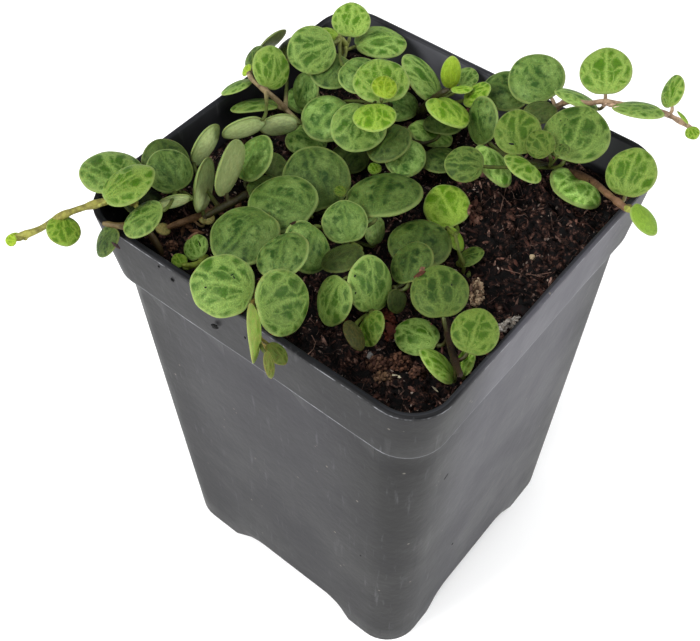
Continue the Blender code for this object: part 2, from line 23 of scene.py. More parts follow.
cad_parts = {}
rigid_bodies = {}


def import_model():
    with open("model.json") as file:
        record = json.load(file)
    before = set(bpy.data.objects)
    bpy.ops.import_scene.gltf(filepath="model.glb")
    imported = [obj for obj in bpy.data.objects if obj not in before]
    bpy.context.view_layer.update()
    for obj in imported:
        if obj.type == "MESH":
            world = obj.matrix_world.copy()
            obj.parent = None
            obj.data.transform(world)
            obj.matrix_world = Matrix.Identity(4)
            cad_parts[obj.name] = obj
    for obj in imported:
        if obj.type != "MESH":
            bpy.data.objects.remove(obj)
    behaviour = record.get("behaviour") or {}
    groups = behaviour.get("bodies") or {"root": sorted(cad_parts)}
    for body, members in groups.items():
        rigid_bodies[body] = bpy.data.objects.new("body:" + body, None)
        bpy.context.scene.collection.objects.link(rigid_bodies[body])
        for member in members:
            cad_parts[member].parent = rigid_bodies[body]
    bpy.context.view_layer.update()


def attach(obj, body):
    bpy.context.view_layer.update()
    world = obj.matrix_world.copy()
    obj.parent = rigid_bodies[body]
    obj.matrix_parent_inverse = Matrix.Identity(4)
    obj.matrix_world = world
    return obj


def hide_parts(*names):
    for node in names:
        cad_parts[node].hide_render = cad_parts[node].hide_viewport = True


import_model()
MM = 0.001
POT_AXIS = np.array([-1.6, 1.9, 0.0])

# %% [markdown]
# Small helpers
#
# Blender's operators act on what is selected, and loading leaves everything selected, so each step
# starts by letting go of it all. Faces, edges and points are then chosen by where they lie. A finished
# object sits at the world's origin with its place in its mesh, so every size goes in as a world place.


# %% Helpers for selecting and shaping
def in_world(point):
    """A point given in millimetres round the pot's axis, as a place in the world in metres."""
    return (np.array(point, float) + POT_AXIS) * MM


def on_axis(axis, length):
    """A vector of this length along X, Y or Z, which are axes 0, 1 and 2."""
    vector = [0.0, 0.0, 0.0]
    vector[axis] = length
    return vector


def unit(vector):
    return vector / np.linalg.norm(vector)


def let_go():
    if bpy.context.mode != "OBJECT":
        bpy.ops.object.mode_set(mode="OBJECT")
    bpy.ops.object.select_all(action="DESELECT")


def take_up(piece):
    """Makes one object the selected and active one."""
    let_go()
    piece.select_set(True)
    bpy.context.view_layer.objects.active = piece


def just_added(name):
    """Names the primitive that was just added and moves its place into its mesh."""
    piece = bpy.context.object
    piece.name = name
    piece.data.name = name
    bpy.ops.object.transform_apply(location=True, rotation=True, scale=True)
    return piece


def add_piece(name, data):
    piece = bpy.data.objects.new(name, data)
    bpy.context.scene.collection.objects.link(piece)
    return piece


def choose(kind, test):
    """In edit mode, selects only the points, edges or faces whose middle passes the test."""
    bpy.ops.mesh.select_mode(type={"verts": "VERT", "edges": "EDGE", "faces": "FACE"}[kind])
    bpy.ops.mesh.select_all(action="DESELECT")
    bm = bmesh.from_edit_mesh(bpy.context.object.data)
    for part in getattr(bm, kind):
        if kind == "verts":
            middle = part.co
        elif kind == "edges":
            middle = (part.verts[0].co + part.verts[1].co) / 2
        else:
            middle = part.calc_center_median()
        if test(middle / MM - Vector(POT_AXIS)):
            part.select_set(True)
    bm.select_flush_mode()
    bmesh.update_edit_mesh(bpy.context.object.data)


def finish_modifiers(piece):
    """Applies the piece's modifiers in order."""
    take_up(piece)
    for modifier in list(piece.modifiers):
        bpy.ops.object.modifier_apply(modifier=modifier.name)


def points_of(piece):
    places = np.empty(len(piece.data.vertices) * 3)
    piece.data.vertices.foreach_get("co", places)
    return places.reshape(-1, 3)


def put_points(piece, places):
    piece.data.vertices.foreach_set("co", np.asarray(places, float).ravel())
    piece.data.update()


def keep_numbers(piece, name, kind, rows):
    """Stores one vector or colour for each point of the mesh, for a material to read."""
    stored = piece.data.attributes.new(name, kind, "POINT")
    field = "color" if kind == "FLOAT_COLOR" else "vector"
    stored.data.foreach_set(field, np.asarray(rows, float).ravel())


def join_all(pieces, name):
    """Joins the pieces into the first one."""
    take_up(pieces[0])
    for piece in pieces[1:]:
        piece.select_set(True)
    bpy.ops.object.join()
    joined = bpy.context.object
    joined.name = name
    joined.data.name = name
    return joined


def finish_piece(piece, slot, *nodes):
    """Lets the piece ride with the part and hides the plain solids that it stands for. The slot is not used.
    """
    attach(piece, "root")
    if nodes:
        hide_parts(*nodes)
    triangles = sum(len(face.vertices) - 2 for face in piece.data.polygons)
    print(piece.name, "has", triangles, "triangles")


# %% [markdown]
# Building materials in code
#
# A material here is a small graph: numbers and patterns flow into a Principled shader. Two classes keep
# each graph short to read. A Finish is one material, whose methods add nodes. A Flow is a node's output,
# on which plain arithmetic adds a maths node. Every pattern is worked out from the piece itself, either
# from its place in the world or from numbers stored on its points, so nothing slides when the view turns.

# %% A short way to write a material
LAMP_LIFT = 1.6
SKIN_GLOSS = 0.012


def colour(red, green, blue):
    """A colour picked off the picture, 0 to 255, as the linear value that a shader takes.

    The lamps lift a colour and the skin's gloss adds a little white, so both are taken off again.
    """
    linear = []
    for value in (red, green, blue):
        share = value / 255
        seen = share / 12.92 if share <= 0.04045 else ((share + 0.055) / 1.055) ** 2.4
        linear.append(max((seen - SKIN_GLOSS) / LAMP_LIFT, 0.003))
    return (*linear, 1.0)


class Flow:
    """A node's output, a number, a vector or a colour, that can be reckoned with."""

    def __init__(self, finish, socket):
        self.finish = finish
        self.socket = socket

    def __add__(self, other):
        return worked("ADD", self, other)

    def __sub__(self, other):
        return worked("SUBTRACT", self, other)

    def __rsub__(self, other):
        return worked("SUBTRACT", other, self)

    def __mul__(self, other):
        return worked("MULTIPLY", self, other)

    def __abs__(self):
        return worked("ABSOLUTE", self)


def worked(operation, *values):
    """Adds the node for one sum, of vectors where a value that flows in isn't a plain number."""
    flows = [value for value in values if isinstance(value, Flow)]
    finish = flows[0].finish
    kind = "Math" if all(flow.socket.type == "VALUE" for flow in flows) else "VectorMath"
    made = finish.node("ShaderNode" + kind, settings={"operation": operation})
    for socket, value in zip(made.inputs, values):
        finish.feed(socket, value)
    return Flow(finish, made.outputs["Value" if operation == "LENGTH" else 0])


def larger(first, second):
    return worked("MAXIMUM", first, second)


def smaller(first, second):
    return worked("MINIMUM", first, second)


class Finish:
    """One material: its methods add a node and return the output to pass on."""

    def __init__(self, name, **shader_values):
        self.material = bpy.data.materials.new(name)
        self.material.use_nodes = True
        self.tree = self.material.node_tree
        self.shader = self.tree.nodes["Principled BSDF"]
        for socket, value in shader_values.items():
            self.wear(socket.replace("_", " "), value)
        self.place = self.node("ShaderNodeTexCoord", "Object")

    def node(self, kind, outlet=None, settings=None, **inputs):
        made = self.tree.nodes.new(kind)
        for setting, value in (settings or {}).items():
            setattr(made, setting, value)
        for socket, value in inputs.items():
            self.feed(made.inputs[socket.replace("_", " ")], value)
        return Flow(self, made.outputs[outlet]) if outlet else made

    def feed(self, socket, value):
        """Links a flow to a socket, or sets it. Three numbers for a colour are one picked off the picture."""
        if isinstance(value, Flow):
            self.tree.links.new(value.socket, socket)
        elif socket.type == "RGBA" and len(value) == 3:
            socket.default_value = colour(*value)
        else:
            socket.default_value = value

    def ease(self, value, low, high, start=0.0, end=1.0):
        """Goes softly from start to end while the value goes from low to high."""
        return self.node("ShaderNodeMapRange", "Result", {"interpolation_type": "SMOOTHSTEP"},
                         Value=value, From_Min=low, From_Max=high, To_Min=start, To_Max=end)

    def noise(self, where, scale, detail=2.0, rough=0.5, outlet="Fac"):
        return self.node("ShaderNodeTexNoise", outlet, Vector=where, Scale=scale, Detail=detail,
                         Roughness=rough)

    def cells(self, where, scale, feature="F1"):
        return self.node("ShaderNodeTexVoronoi", "Distance", {"feature": feature}, Vector=where, Scale=scale)

    def blend(self, share, first, second, kind="MIX"):
        made = self.node("ShaderNodeMix", settings={"data_type": "RGBA", "blend_type": kind})
        for socket, value in zip((made.inputs["Factor"], made.inputs[6], made.inputs[7]),
                                 (share, first, second)):
            self.feed(socket, value)
        return Flow(self, made.outputs[2])

    def stain(self, share, base, by):
        """Multiplies the base by a colour, wholly where the share is 1."""
        return self.blend(share, base, by, "MULTIPLY")

    def ramp(self, value, *stops):
        made = self.node("ShaderNodeValToRGB", Fac=value)
        band = made.color_ramp.elements
        while len(band) < len(stops):
            band.new(0.5)
        for element, (place, shade) in zip(band, stops):
            element.position = place
            element.color = colour(*shade) if len(shade) == 3 else shade
        return Flow(self, made.outputs["Color"])

    def joined(self, x, y, z=0.0):
        return self.node("ShaderNodeCombineXYZ", "Vector", X=x, Y=y, Z=z)

    def parts(self, vector):
        return [Flow(self, part) for part in self.node("ShaderNodeSeparateXYZ", Vector=vector).outputs]

    def stored(self, name, outlet="Vector"):
        return self.node("ShaderNodeAttribute", outlet, {"attribute_name": name})

    def wear(self, socket, value):
        self.feed(self.shader.inputs[socket], value)

    def bump(self, height, depth, strength):
        self.wear("Normal", self.node("ShaderNodeBump", "Normal", Height=height, Distance=depth,
                                      Strength=strength))

    def put_on(self, *pieces):
        for piece in pieces:
            piece.data.materials.clear()
            piece.data.materials.append(self.material)


# %% [markdown]
# Camera, floor and light
#
# The picture looks down at the near corner of the pot from about a quarter of a metre. The camera's
# place and lens were worked out from the pot's own corners. The ground is a plain white table, and the
# light is that of a photo tent: an even surround and four broad soft lamps. The key lamp stands high in
# front on the left, the second low on the right, which makes the pot's right side the paler one. The
# third hangs overhead, and the last, low in front, opens up the shade under the leaves. None of them
# stands where flat leaves would mirror it into the camera, because that turns them white.

# %% Camera
CAMERA_AT = np.array([69.978, -93.406, 205.207])
LOOK = Vector((-0.38825806, 0.48032184, -0.78647734))
LENS = 54.76
PICTURE_WIDE, PICTURE_TALL, PICTURE_FOCAL = 700, 641, 1064.8
UP_IN_PICTURE = Vector((-0.48033071, 0.6228584, 0.61751909))
ACROSS_PICTURE = LOOK.cross(UP_IN_PICTURE)

let_go()
bpy.ops.object.camera_add(location=in_world(CAMERA_AT), rotation=LOOK.to_track_quat("-Z", "Y").to_euler())
camera = bpy.context.object
camera.name = "camera"
camera.data.lens = LENS
camera.data.sensor_width = 36.0
camera.data.clip_start = 0.01
bpy.context.scene.camera = camera


def ray_through(px, py):
    """Where a sight line starts and the way it goes, for a spot of the 700 by 641 picture."""
    way = LOOK * PICTURE_FOCAL + ACROSS_PICTURE * (px - PICTURE_WIDE / 2)
    way = way + UP_IN_PICTURE * (PICTURE_TALL / 2 - py)
    return Vector(in_world(CAMERA_AT)), way.normalized()


print("camera at", camera.location[:])

# %% Floor, surround and lamps
let_go()
bpy.ops.mesh.primitive_plane_add(size=4.0, location=(0, 0, 0))
table = just_added("white_table")
bpy.ops.object.mode_set(mode="EDIT")
bpy.ops.mesh.select_all(action="SELECT")
bpy.ops.mesh.subdivide(number_cuts=3)
let_go()
white = Finish("white_table_top", Base_Color=(0.92, 0.92, 0.92, 1), Roughness=0.7,
               Emission_Color=(1, 1, 1, 1), Emission_Strength=0.15)
white.put_on(table)

surround = bpy.data.worlds.new("photo_tent")
bpy.context.scene.world = surround
surround.use_nodes = True
surround.node_tree.nodes["Background"].inputs["Color"].default_value = (0.97, 0.985, 1.0, 1)
surround.node_tree.nodes["Background"].inputs["Strength"].default_value = 0.40
bpy.context.scene.view_settings.view_transform = "Standard"

# A lamp is square. Its place and size are in metres, the height of the spot that it is turned to as well,
# and its power is in watts.
for name, place, aim, size, power in (("key_lamp", (-0.34, -0.58, 0.60), 0.07, 0.45, 7.5),
                                      ("right_lamp", (0.72, 0.36, 0.34), 0.05, 0.6, 6.0),
                                      ("top_lamp", (0.05, 0.10, 0.95), 0.07, 0.5, 3.0),
                                      ("low_lamp", (0.14, -0.66, 0.24), 0.09, 0.4, 3.0)):
    turn = (Vector((0, 0, aim)) - Vector(place)).to_track_quat("-Z", "Y").to_euler()
    bpy.ops.object.light_add(type="AREA", location=place, rotation=turn)
    lamp = bpy.context.object
    lamp.name = name
    lamp.data.size = size
    lamp.data.energy = power
print("surround and four lamps are set")

# %% [markdown]
# The pot
#
# The pot is one moulding: a square cup with round corners that tapers down, a taller band under the
# rim, and a floor raised over four corner feet. By hand it starts as a flat square whose corners are
# rounded. That face is pulled up level by level, and at each level the four sides are moved in or out,
# which keeps the corner radius as a mould does. At the rim the face is inset by the wall's thickness
# and pushed back down to the floor. The arches between the feet and the drain holes are cut out last.

# %% The pot's body
POT_HEIGHT, RIM_HALF, BAND_HALF, NECK_HALF, FOOT_HALF = 91.0, 32.5, 31.15, 30.1, 27.6
BAND_TALL, STEP_TALL, WALL = 13.0, 1.3, 1.1
CORNER_RADIUS, RIM_ROUND = 6.9, 0.42
INNER_STEP_MORE = 0.6
BASE_UNDER, BASE_THICK = 6.2, 1.2
BAND_LOW = POT_HEIGHT - BAND_TALL
NECK = BAND_LOW - STEP_TALL
FLOOR = BASE_UNDER + BASE_THICK


def half_at(z):
    """Half the body's outer width at a height below the rim band."""
    return FOOT_HALF + (NECK_HALF - FOOT_HALF) * z / NECK


def widen(step):
    """Moves each side of the selected ring outwards, so that its round corners keep their radius."""
    bm = bmesh.from_edit_mesh(bpy.context.object.data)
    ring = {point.index: point.co - Vector(in_world((0, 0, 0))) for point in bm.verts if point.select}
    for axis in (0, 1):
        for sign in (-1, 1):
            bpy.ops.mesh.select_all(action="DESELECT")
            bm = bmesh.from_edit_mesh(bpy.context.object.data)
            bm.verts.ensure_lookup_table()
            for index, place in ring.items():
                bm.verts[index].select_set(sign * place[axis] > 0)
            bpy.ops.transform.translate(value=on_axis(axis, sign * step * MM))
    bm = bmesh.from_edit_mesh(bpy.context.object.data)
    bm.verts.ensure_lookup_table()
    for index in ring:
        bm.verts[index].select_set(True)
    bm.select_flush(True)
    bmesh.update_edit_mesh(bpy.context.object.data)


def pull(rise, step, kind="FACE"):
    """Pulls the selected face, or ring of edges, up by rise, or down, and moves its sides out by step."""
    extrude = {"FACE": bpy.ops.mesh.extrude_region_move, "EDGE": bpy.ops.mesh.extrude_edges_move}[kind]
    extrude(TRANSFORM_OT_translate={"value": (0, 0, rise * MM)})
    bpy.ops.mesh.select_mode(type="VERT")
    widen(step)
    bpy.ops.mesh.select_mode(type=kind)


let_go()
bpy.ops.mesh.primitive_plane_add(size=2 * FOOT_HALF * MM, location=in_world((0, 0, 0)))
pot = just_added("nursery_pot")
bpy.ops.object.mode_set(mode="EDIT")
bpy.ops.mesh.select_all(action="SELECT")
bpy.ops.mesh.bevel(offset=CORNER_RADIUS * MM, affect="VERTICES", segments=10)
bpy.ops.mesh.select_mode(type="FACE")
bpy.ops.mesh.select_all(action="SELECT")
pull(NECK, NECK_HALF - FOOT_HALF)
pull(STEP_TALL, BAND_HALF - NECK_HALF)
pull(BAND_TALL, RIM_HALF - BAND_HALF)
bpy.ops.mesh.inset(thickness=WALL * MM)
pull(-BAND_TALL, BAND_HALF - RIM_HALF)
pull(-STEP_TALL - INNER_STEP_MORE, NECK_HALF - BAND_HALF)
pull(FLOOR - NECK + INNER_STEP_MORE, half_at(FLOOR) - NECK_HALF)
choose("faces", lambda p: p.z < 0.01 and abs(p.x) < 1 and abs(p.y) < 1)
bpy.ops.mesh.inset(thickness=WALL * MM)
pull(BASE_UNDER, half_at(BASE_UNDER) - FOOT_HALF)


def past_rim(p):
    """How far a spot lies outside the rim's outline, below zero when it is inside."""
    core = RIM_HALF - CORNER_RADIUS
    return math.hypot(max(abs(p.x) - core, 0), max(abs(p.y) - core, 0)) - CORNER_RADIUS


def on_rim_edge(p):
    """Whether a spot lies on the rim's outer or its inner edge."""
    off = min(abs(past_rim(p)), abs(past_rim(p) + WALL))
    return p.z > POT_HEIGHT - 0.01 and off < 0.2


choose("edges", on_rim_edge)
bpy.ops.mesh.bevel(offset=RIM_ROUND * MM, segments=3)
print("pot body:", len(pot.data.polygons), "faces when it was last saved")

# %% [markdown]
# Arches, drain holes and thin-walled waves
#
# A thin wall never stays quite flat. The long faces are cut into strips, and a formula then bows each
# wall out by a few tenths of a millimetre, most of all halfway up. The cutters are a bar with slanting
# ends for the arches and a short cylinder for each hole. A narrow bevel breaks every moulded edge.

# %% Cutting the arches and holes
ARCH_TALL, ARCH_HALF_LOW, ARCH_HALF_HIGH = 5.5, 16.0, 13.0
ARCH_FAR_LOW, ARCH_FAR_HIGH = 15.0, 8.0
ARCH_ROUND = 2.6
DRAIN_RADIUS, DRAIN_OFFSET = 3.5, 15.0
STRIP = 6.0
WALL_BOW = 0.28

for axis, reach in ((0, RIM_HALF), (1, RIM_HALF), (2, POT_HEIGHT)):
    steps = int(reach // STRIP)
    for k in (range(1, steps + 1) if axis == 2 else range(-steps + 1, steps)):
        spot = on_axis(axis, k * STRIP - (0 if axis == 2 else 0.01))
        bpy.ops.mesh.select_all(action="SELECT")
        bpy.ops.mesh.bisect(plane_co=in_world(spot), plane_no=on_axis(axis, 1.0))
let_go()

places = points_of(pot) / MM - POT_AXIS
heights = places[:, 2]
along_z = np.clip(heights / NECK, 0, 1)
belly = WALL_BOW * np.sin(math.pi * along_z) ** 0.8
for axis, other in ((0, 1), (1, 0)):
    outer = half_at(heights) - WALL - 0.6
    on_wall = np.abs(places[:, axis]) > outer
    flat = np.clip(1 - (places[:, other] / (FOOT_HALF - 4)) ** 2, 0, 1)
    ripple = np.sin(places[:, other] * 0.19 + heights * 0.11 + axis * 2) * 0.07
    places[:, axis] += np.where(on_wall, np.sign(places[:, axis]) * (belly + ripple * along_z) * flat, 0)
put_points(pot, (places + POT_AXIS) * MM)


def cut_out(piece, cutter):
    """Cuts one shape out of the piece and deletes it."""
    boolean = piece.modifiers.new("cut", "BOOLEAN")
    boolean.operation = "DIFFERENCE"
    boolean.object = cutter
    finish_modifiers(piece)
    bpy.data.objects.remove(cutter)


for across, far in ((0, -1), (1, 1)):
    let_go()
    bpy.ops.mesh.primitive_cube_add(size=1, location=in_world((0, 0, (ARCH_TALL - 1) / 2)))
    size = [(RIM_HALF + 5) * 2, (RIM_HALF + 5) * 2, ARCH_TALL + 1]
    size[across] = (ARCH_HALF_LOW + 1) * 2
    bpy.context.object.scale = [side * MM for side in size]
    bar = just_added("arch_bar")
    bpy.ops.object.mode_set(mode="EDIT")
    for end, top, reach in ((far, False, ARCH_FAR_LOW), (far, True, ARCH_FAR_HIGH),
                            (-far, True, ARCH_HALF_HIGH)):
        choose("verts", lambda p: p[across] * end > 0 and (p.z > 0) == top)
        bpy.ops.transform.translate(value=on_axis(across, end * (reach - ARCH_HALF_LOW - 1) * MM))
    choose("edges", lambda p: p.z > ARCH_TALL - 0.1 and abs(p[1 - across]) < 1)
    bpy.ops.mesh.bevel(offset=ARCH_ROUND * MM, segments=6)
    let_go()
    cut_out(pot, bar)

for x, y in [(0, 0)] + [(sx * DRAIN_OFFSET, sy * DRAIN_OFFSET) for sx in (-1, 1) for sy in (-1, 1)]:
    let_go()
    bpy.ops.mesh.primitive_cylinder_add(vertices=24, radius=DRAIN_RADIUS * MM, depth=4 * MM,
                                        location=in_world((x, y, FLOOR - BASE_THICK / 2)))
    cut_out(pot, just_added("drain_hole"))

soften = pot.modifiers.new("soften", "BEVEL")
soften.width = 0.22 * MM
soften.segments = 2
soften.angle_limit = math.radians(38)
finish_modifiers(pot)
take_up(pot)
bpy.ops.object.shade_smooth_by_angle(angle=math.radians(32))
finish_piece(pot, "pot", "pot")

# %% [markdown]
# Soil
#
# The pot is full of dark peat and bark to about seven millimetres under its rim. The block only has to
# be fine on top, so it starts as a dense grid. Its corners are drawn in to the pot's round corners, its
# border is pulled down the inside of the wall, and three displacements raise lumps, crumbs and grain.
# The bits that lie on top, such as bark, fibres and white grains, are added as pieces of their own.

# %% The soil block
SOIL_TOP, SOIL_GAP, SOIL_CELLS = 83.8, 0.3, 210
EDGE_DROP, NECK_DROP = 0.6, 0.9
gap = WALL + SOIL_GAP
top_half = BAND_HALF + (RIM_HALF - BAND_HALF) * (SOIL_TOP - BAND_LOW) / BAND_TALL - gap
inner_corner = CORNER_RADIUS - gap
core = top_half - inner_corner

let_go()
bpy.ops.mesh.primitive_grid_add(x_subdivisions=SOIL_CELLS, y_subdivisions=SOIL_CELLS,
                                size=2 * top_half * MM, location=in_world((0, 0, SOIL_TOP)))
soil = just_added("potting_soil")
places = points_of(soil) / MM - POT_AXIS
off = np.abs(places[:, :2])
over = np.clip(off - core, 0, None) / inner_corner
drawn_in = over * np.sqrt(1 - over[:, ::-1] ** 2 / 2) * inner_corner
places[:, :2] = np.sign(places[:, :2]) * (np.minimum(off, core) + drawn_in)
from_edge = top_half - np.abs(places[:, :2]).max(axis=1)
places[:, 2] -= EDGE_DROP * np.clip((2 - from_edge) / 2, 0, 1)
put_points(soil, (places + POT_AXIS) * MM)

# The displacements grow from nothing at the border to their full strength two millimetres in.
top = soil.vertex_groups.new(name="top")
for level in range(1, 9):
    near = np.nonzero((from_edge * 4 >= level - 1) & (from_edge * 4 < level))[0]
    top.add(near.tolist(), level / 9, "REPLACE")
top.add(np.nonzero(from_edge >= 2)[0].tolist(), 1.0, "REPLACE")

bpy.ops.object.mode_set(mode="EDIT")
bpy.ops.mesh.select_all(action="SELECT")
bpy.ops.mesh.region_to_loop()
pull(BAND_LOW - SOIL_TOP, BAND_HALF - gap - 0.1 - top_half, "EDGE")
pull(NECK - NECK_DROP - BAND_LOW, NECK_HALF - BAND_HALF, "EDGE")
pull(FLOOR + SOIL_GAP - NECK + NECK_DROP, half_at(FLOOR) - NECK_HALF, "EDGE")
bpy.ops.mesh.edge_face_add()
bpy.ops.mesh.select_all(action="SELECT")
bpy.ops.mesh.normals_make_consistent(inside=False)
let_go()

for name, kind, scale, strength in (("lumps", "CLOUDS", 0.0055, 2.6), ("crumbs", "VORONOI", 0.0017, -1.5),
                                    ("grain", "CLOUDS", 0.0008, 1.7)):
    pattern = bpy.data.textures.new(name, kind)
    pattern.noise_scale = scale
    raise_it = soil.modifiers.new(name, "DISPLACE")
    raise_it.texture = pattern
    raise_it.texture_coords = "LOCAL"
    raise_it.direction = "Z"
    raise_it.vertex_group = "top"
    raise_it.strength = strength * MM
    raise_it.mid_level = 0.5
finish_modifiers(soil)
take_up(soil)
bpy.ops.object.shade_smooth()
finish_piece(soil, "soil", "soil")

# %% [markdown]
# Loose bits on the soil
#
# Close up, the soil is a litter of bark crumbs, chips and hair-fine fibres, with a few white grains.
# Each kind is modelled once, as a rough low lump or a bent strand, then copied with its own size, turn
# and tint, and set down on the soil by dropping a ray onto it. The draws are seeded, so they never move.

# %% Setting things down on the soil
ground = BVHTree.FromPolygons([v.co.copy() for v in soil.data.vertices],
                              [tuple(face.vertices) for face in soil.data.polygons if len(face.vertices) < 5])


def soil_under(x, y):
    """The place on the soil under a spot given round the pot's axis, in millimetres."""
    hit = ground.ray_cast(Vector(in_world((x, y, SOIL_TOP + 20))), Vector((0, 0, -1)))[0]
    return np.array(hit) / MM - POT_AXIS


def rough_lump(name, detail, roughness, seed):
    """A unit ball knocked into an uneven lump."""
    let_go()
    bpy.ops.mesh.primitive_ico_sphere_add(subdivisions=detail, radius=1.0)
    lump = just_added(name)
    places = points_of(lump)
    for k, place in enumerate(places):
        push = noise.noise(Vector(place * 1.7 + seed)) + 0.5 * noise.noise(Vector(place * 4.1 + seed))
        places[k] = place * (1 + roughness * push)
    put_points(lump, places)
    return lump


def turned_axes(draw, tilt):
    """Three axes of a bit lying down, turned at random and tilted a little."""
    yaw = draw.uniform(0, 2 * math.pi)
    lean = draw.normal(0, tilt)
    ahead = np.array([math.cos(yaw) * math.cos(lean), math.sin(yaw) * math.cos(lean), math.sin(lean)])
    side = unit(np.cross((0, 0, 1), ahead))
    return np.array([ahead, side, np.cross(ahead, side)])


def copies_joined(masters, placed, name):
    """One mesh that holds a copy of a master for each (master, axes and sizes, place, tint)."""
    corners, faces, tints = [], [], []
    count = 0
    for master, frame_rows, place, tint in placed:
        shape = points_of(masters[master]) @ frame_rows + place
        corners.append((shape + POT_AXIS) * MM)
        faces += [[i + count for i in face.vertices] for face in masters[master].data.polygons]
        tints += [(*tint[:3], 1.0)] * len(shape)
        count += len(shape)
    mesh = bpy.data.meshes.new(name)
    mesh.from_pydata(np.vstack(corners).tolist(), [], faces)
    piece = add_piece(name, mesh)
    keep_numbers(piece, "tint", "FLOAT_COLOR", tints)
    return piece


# %% Bark crumbs and chips
CRUMB_SEED = 31
draw = np.random.default_rng(CRUMB_SEED)
lumps = [rough_lump(f"crumb_{k}", 1, 0.55, k * 7.3) for k in range(3)]
lumps += [rough_lump(f"chip_{k}", 2, 0.5, k * 5.1 + 40) for k in range(3)]
BARK_TINTS = [colour(*c) for c in (
    (24, 18, 18), (44, 31, 29), (74, 52, 47), (138, 102, 90), (20, 16, 17), (104, 74, 64), (196, 164, 148),
    (30, 22, 22), (58, 42, 39), (214, 192, 176))]
FLAKE_TINTS = [colour(*c) for c in (
    (104, 71, 62), (140, 101, 88), (74, 51, 46), (178, 140, 124), (46, 33, 31))]
LITTER_MARGIN = 1.5
CRUMBS, FLAKES, CHIPS = 7600, 1300, 60


def keep_inside(x, y):
    """The nearest spot to (x, y) that lies inside the pot's round-cornered wall with a small margin."""
    spot = np.array([x, y], float)
    over = np.abs(spot) - core
    beyond = np.hypot(*np.clip(over, 0, None)) / (inner_corner - LITTER_MARGIN)
    return spot if beyond <= 1 else np.sign(spot) * np.where(over > 0, core + over / beyond, np.abs(spot))


def scatter(count, kinds, long_range, tilt, tints, sink, broad=0.7):
    """Bits of the given kinds strewn evenly over the soil, each flattened and turned its own way."""
    placed = []
    for _ in range(count):
        x, y = keep_inside(*draw.uniform(-top_half, top_half, 2))
        length = draw.uniform(*long_range) * draw.uniform(0.6, 1.0)
        sizes = np.array([length, length * draw.uniform(0.2, broad), length * draw.uniform(0.14, 0.42)]) / 2
        place = soil_under(x, y) + (0, 0, sizes[2] * sink)
        tint = tints[draw.integers(len(tints))]
        placed.append((draw.choice(kinds), turned_axes(draw, tilt) * sizes[:, None], place, tint))
    return placed


placed = scatter(CRUMBS, [0, 1, 2], (0.25, 1.0), 0.8, BARK_TINTS, 0.7)
placed += scatter(FLAKES, [0, 1, 2], (1.0, 2.6), 0.6, FLAKE_TINTS, 1.2, 0.36)
placed += scatter(CHIPS, [3, 4, 5], (2.0, 3.6), 0.3, BARK_TINTS[:6], 0.3)
litter = copies_joined(lumps, placed, "bark_litter")
finish_piece(litter, "soil")

# %% Fibres
FIBRES = 1300
FIBRE_TINTS = [colour(*c) for c in (
    (84, 60, 54), (108, 80, 72), (58, 44, 40), (150, 122, 110), (96, 70, 62))]


def strand(draw, length):
    """The middle line of a bent fibre lying on the soil, in millimetres."""
    x, y = draw.uniform(-top_half, top_half, 2)
    yaw = draw.uniform(0, 2 * math.pi)
    bend = draw.normal(0, 0.06)
    line = []
    for k in range(6):
        x, y = keep_inside(x, y)
        line.append(soil_under(x, y) + (0, 0, 0.22 + 0.25 * math.sin(math.pi * k / 5)))
        x += math.cos(yaw) * length / 5
        y += math.sin(yaw) * length / 5
        yaw += bend
    return line


def tubes(name, lines, sides_level):
    """A curve object with one round strand for each (points, radii), turned into a mesh."""
    curve = bpy.data.curves.new(name, "CURVE")
    curve.dimensions = "3D"
    curve.bevel_depth = MM
    curve.bevel_resolution = sides_level
    curve.use_fill_caps = True
    for points, radii in lines:
        spline = curve.splines.new("POLY")
        spline.points.add(len(points) - 1)
        for spot, point, radius in zip(spline.points, points, radii):
            spot.co = (*in_world(point), 1.0)
            spot.radius = radius
    take_up(add_piece(name, curve))
    bpy.ops.object.convert(target="MESH")
    return bpy.context.object


lines = []
strand_tints = []
for _ in range(FIBRES):
    line = strand(draw, draw.uniform(0.8, 4.2) * draw.uniform(0.4, 1.0))
    thick = draw.uniform(0.022, 0.06)
    lines.append((line, [thick * s for s in (0.7, 1, 1, 1, 0.9, 0.5)]))
    strand_tints.append(FIBRE_TINTS[draw.integers(len(FIBRE_TINTS))])
fibres = tubes("peat_fibres", lines, 0)
each = len(fibres.data.vertices) // len(lines)
keep_numbers(fibres, "tint", "FLOAT_COLOR", [tint for tint in strand_tints for _ in range(each)])
finish_piece(fibres, "soil")

# %% [markdown]
# How the leaves lie
#
# Every leaf has a spot in the picture, a size, a tilt and a way to its stalk, read from the photograph. One
# rule then lays the leaves from the far side to the near one: each is lifted just clear of those it covers,
# of the soil and of the rim. The plain solids were laid by the same table and rule, so the finer leaves below
# come out in the same places.

# %% The leaf table
STEM_RADIUS, TIP_RADIUS, STEM_PITCH, PETIOLE_RADIUS = 0.68, 0.5, 2.4, 0.42
HOLE_FOOT, HOLE_GAP, SPROUT = SOIL_TOP - 8.0, 0.3, 1.6
LEAF_THICK, LEAF_DOME = 0.085, 0.05
EYE = np.array([70.0, -93.4, 205.2])
PICTURE_UP = np.array([-0.480, 0.623, 0.618])
SIGHT_PLANE = 92.0
LEAF_CLEAR, RIM_CLEAR, SOIL_CLEAR = 0.35, 0.5, 1.2
LIFT_LIMIT, LIFT_ROUNDS = 7.0, 14
OLD, MATURE, GREEN, FRESH, YOUNG, BUD = 0.0, 0.15, 0.4, 0.65, 0.85, 1.0

Leaf = namedtuple("Leaf", "u v size away clock root age light over least slim plain decay",
                  defaults=(1.0, 0, 0, 1.0, 0.0, 0.0))
Stem = namedtuple("Stem", "name hole route leaves")
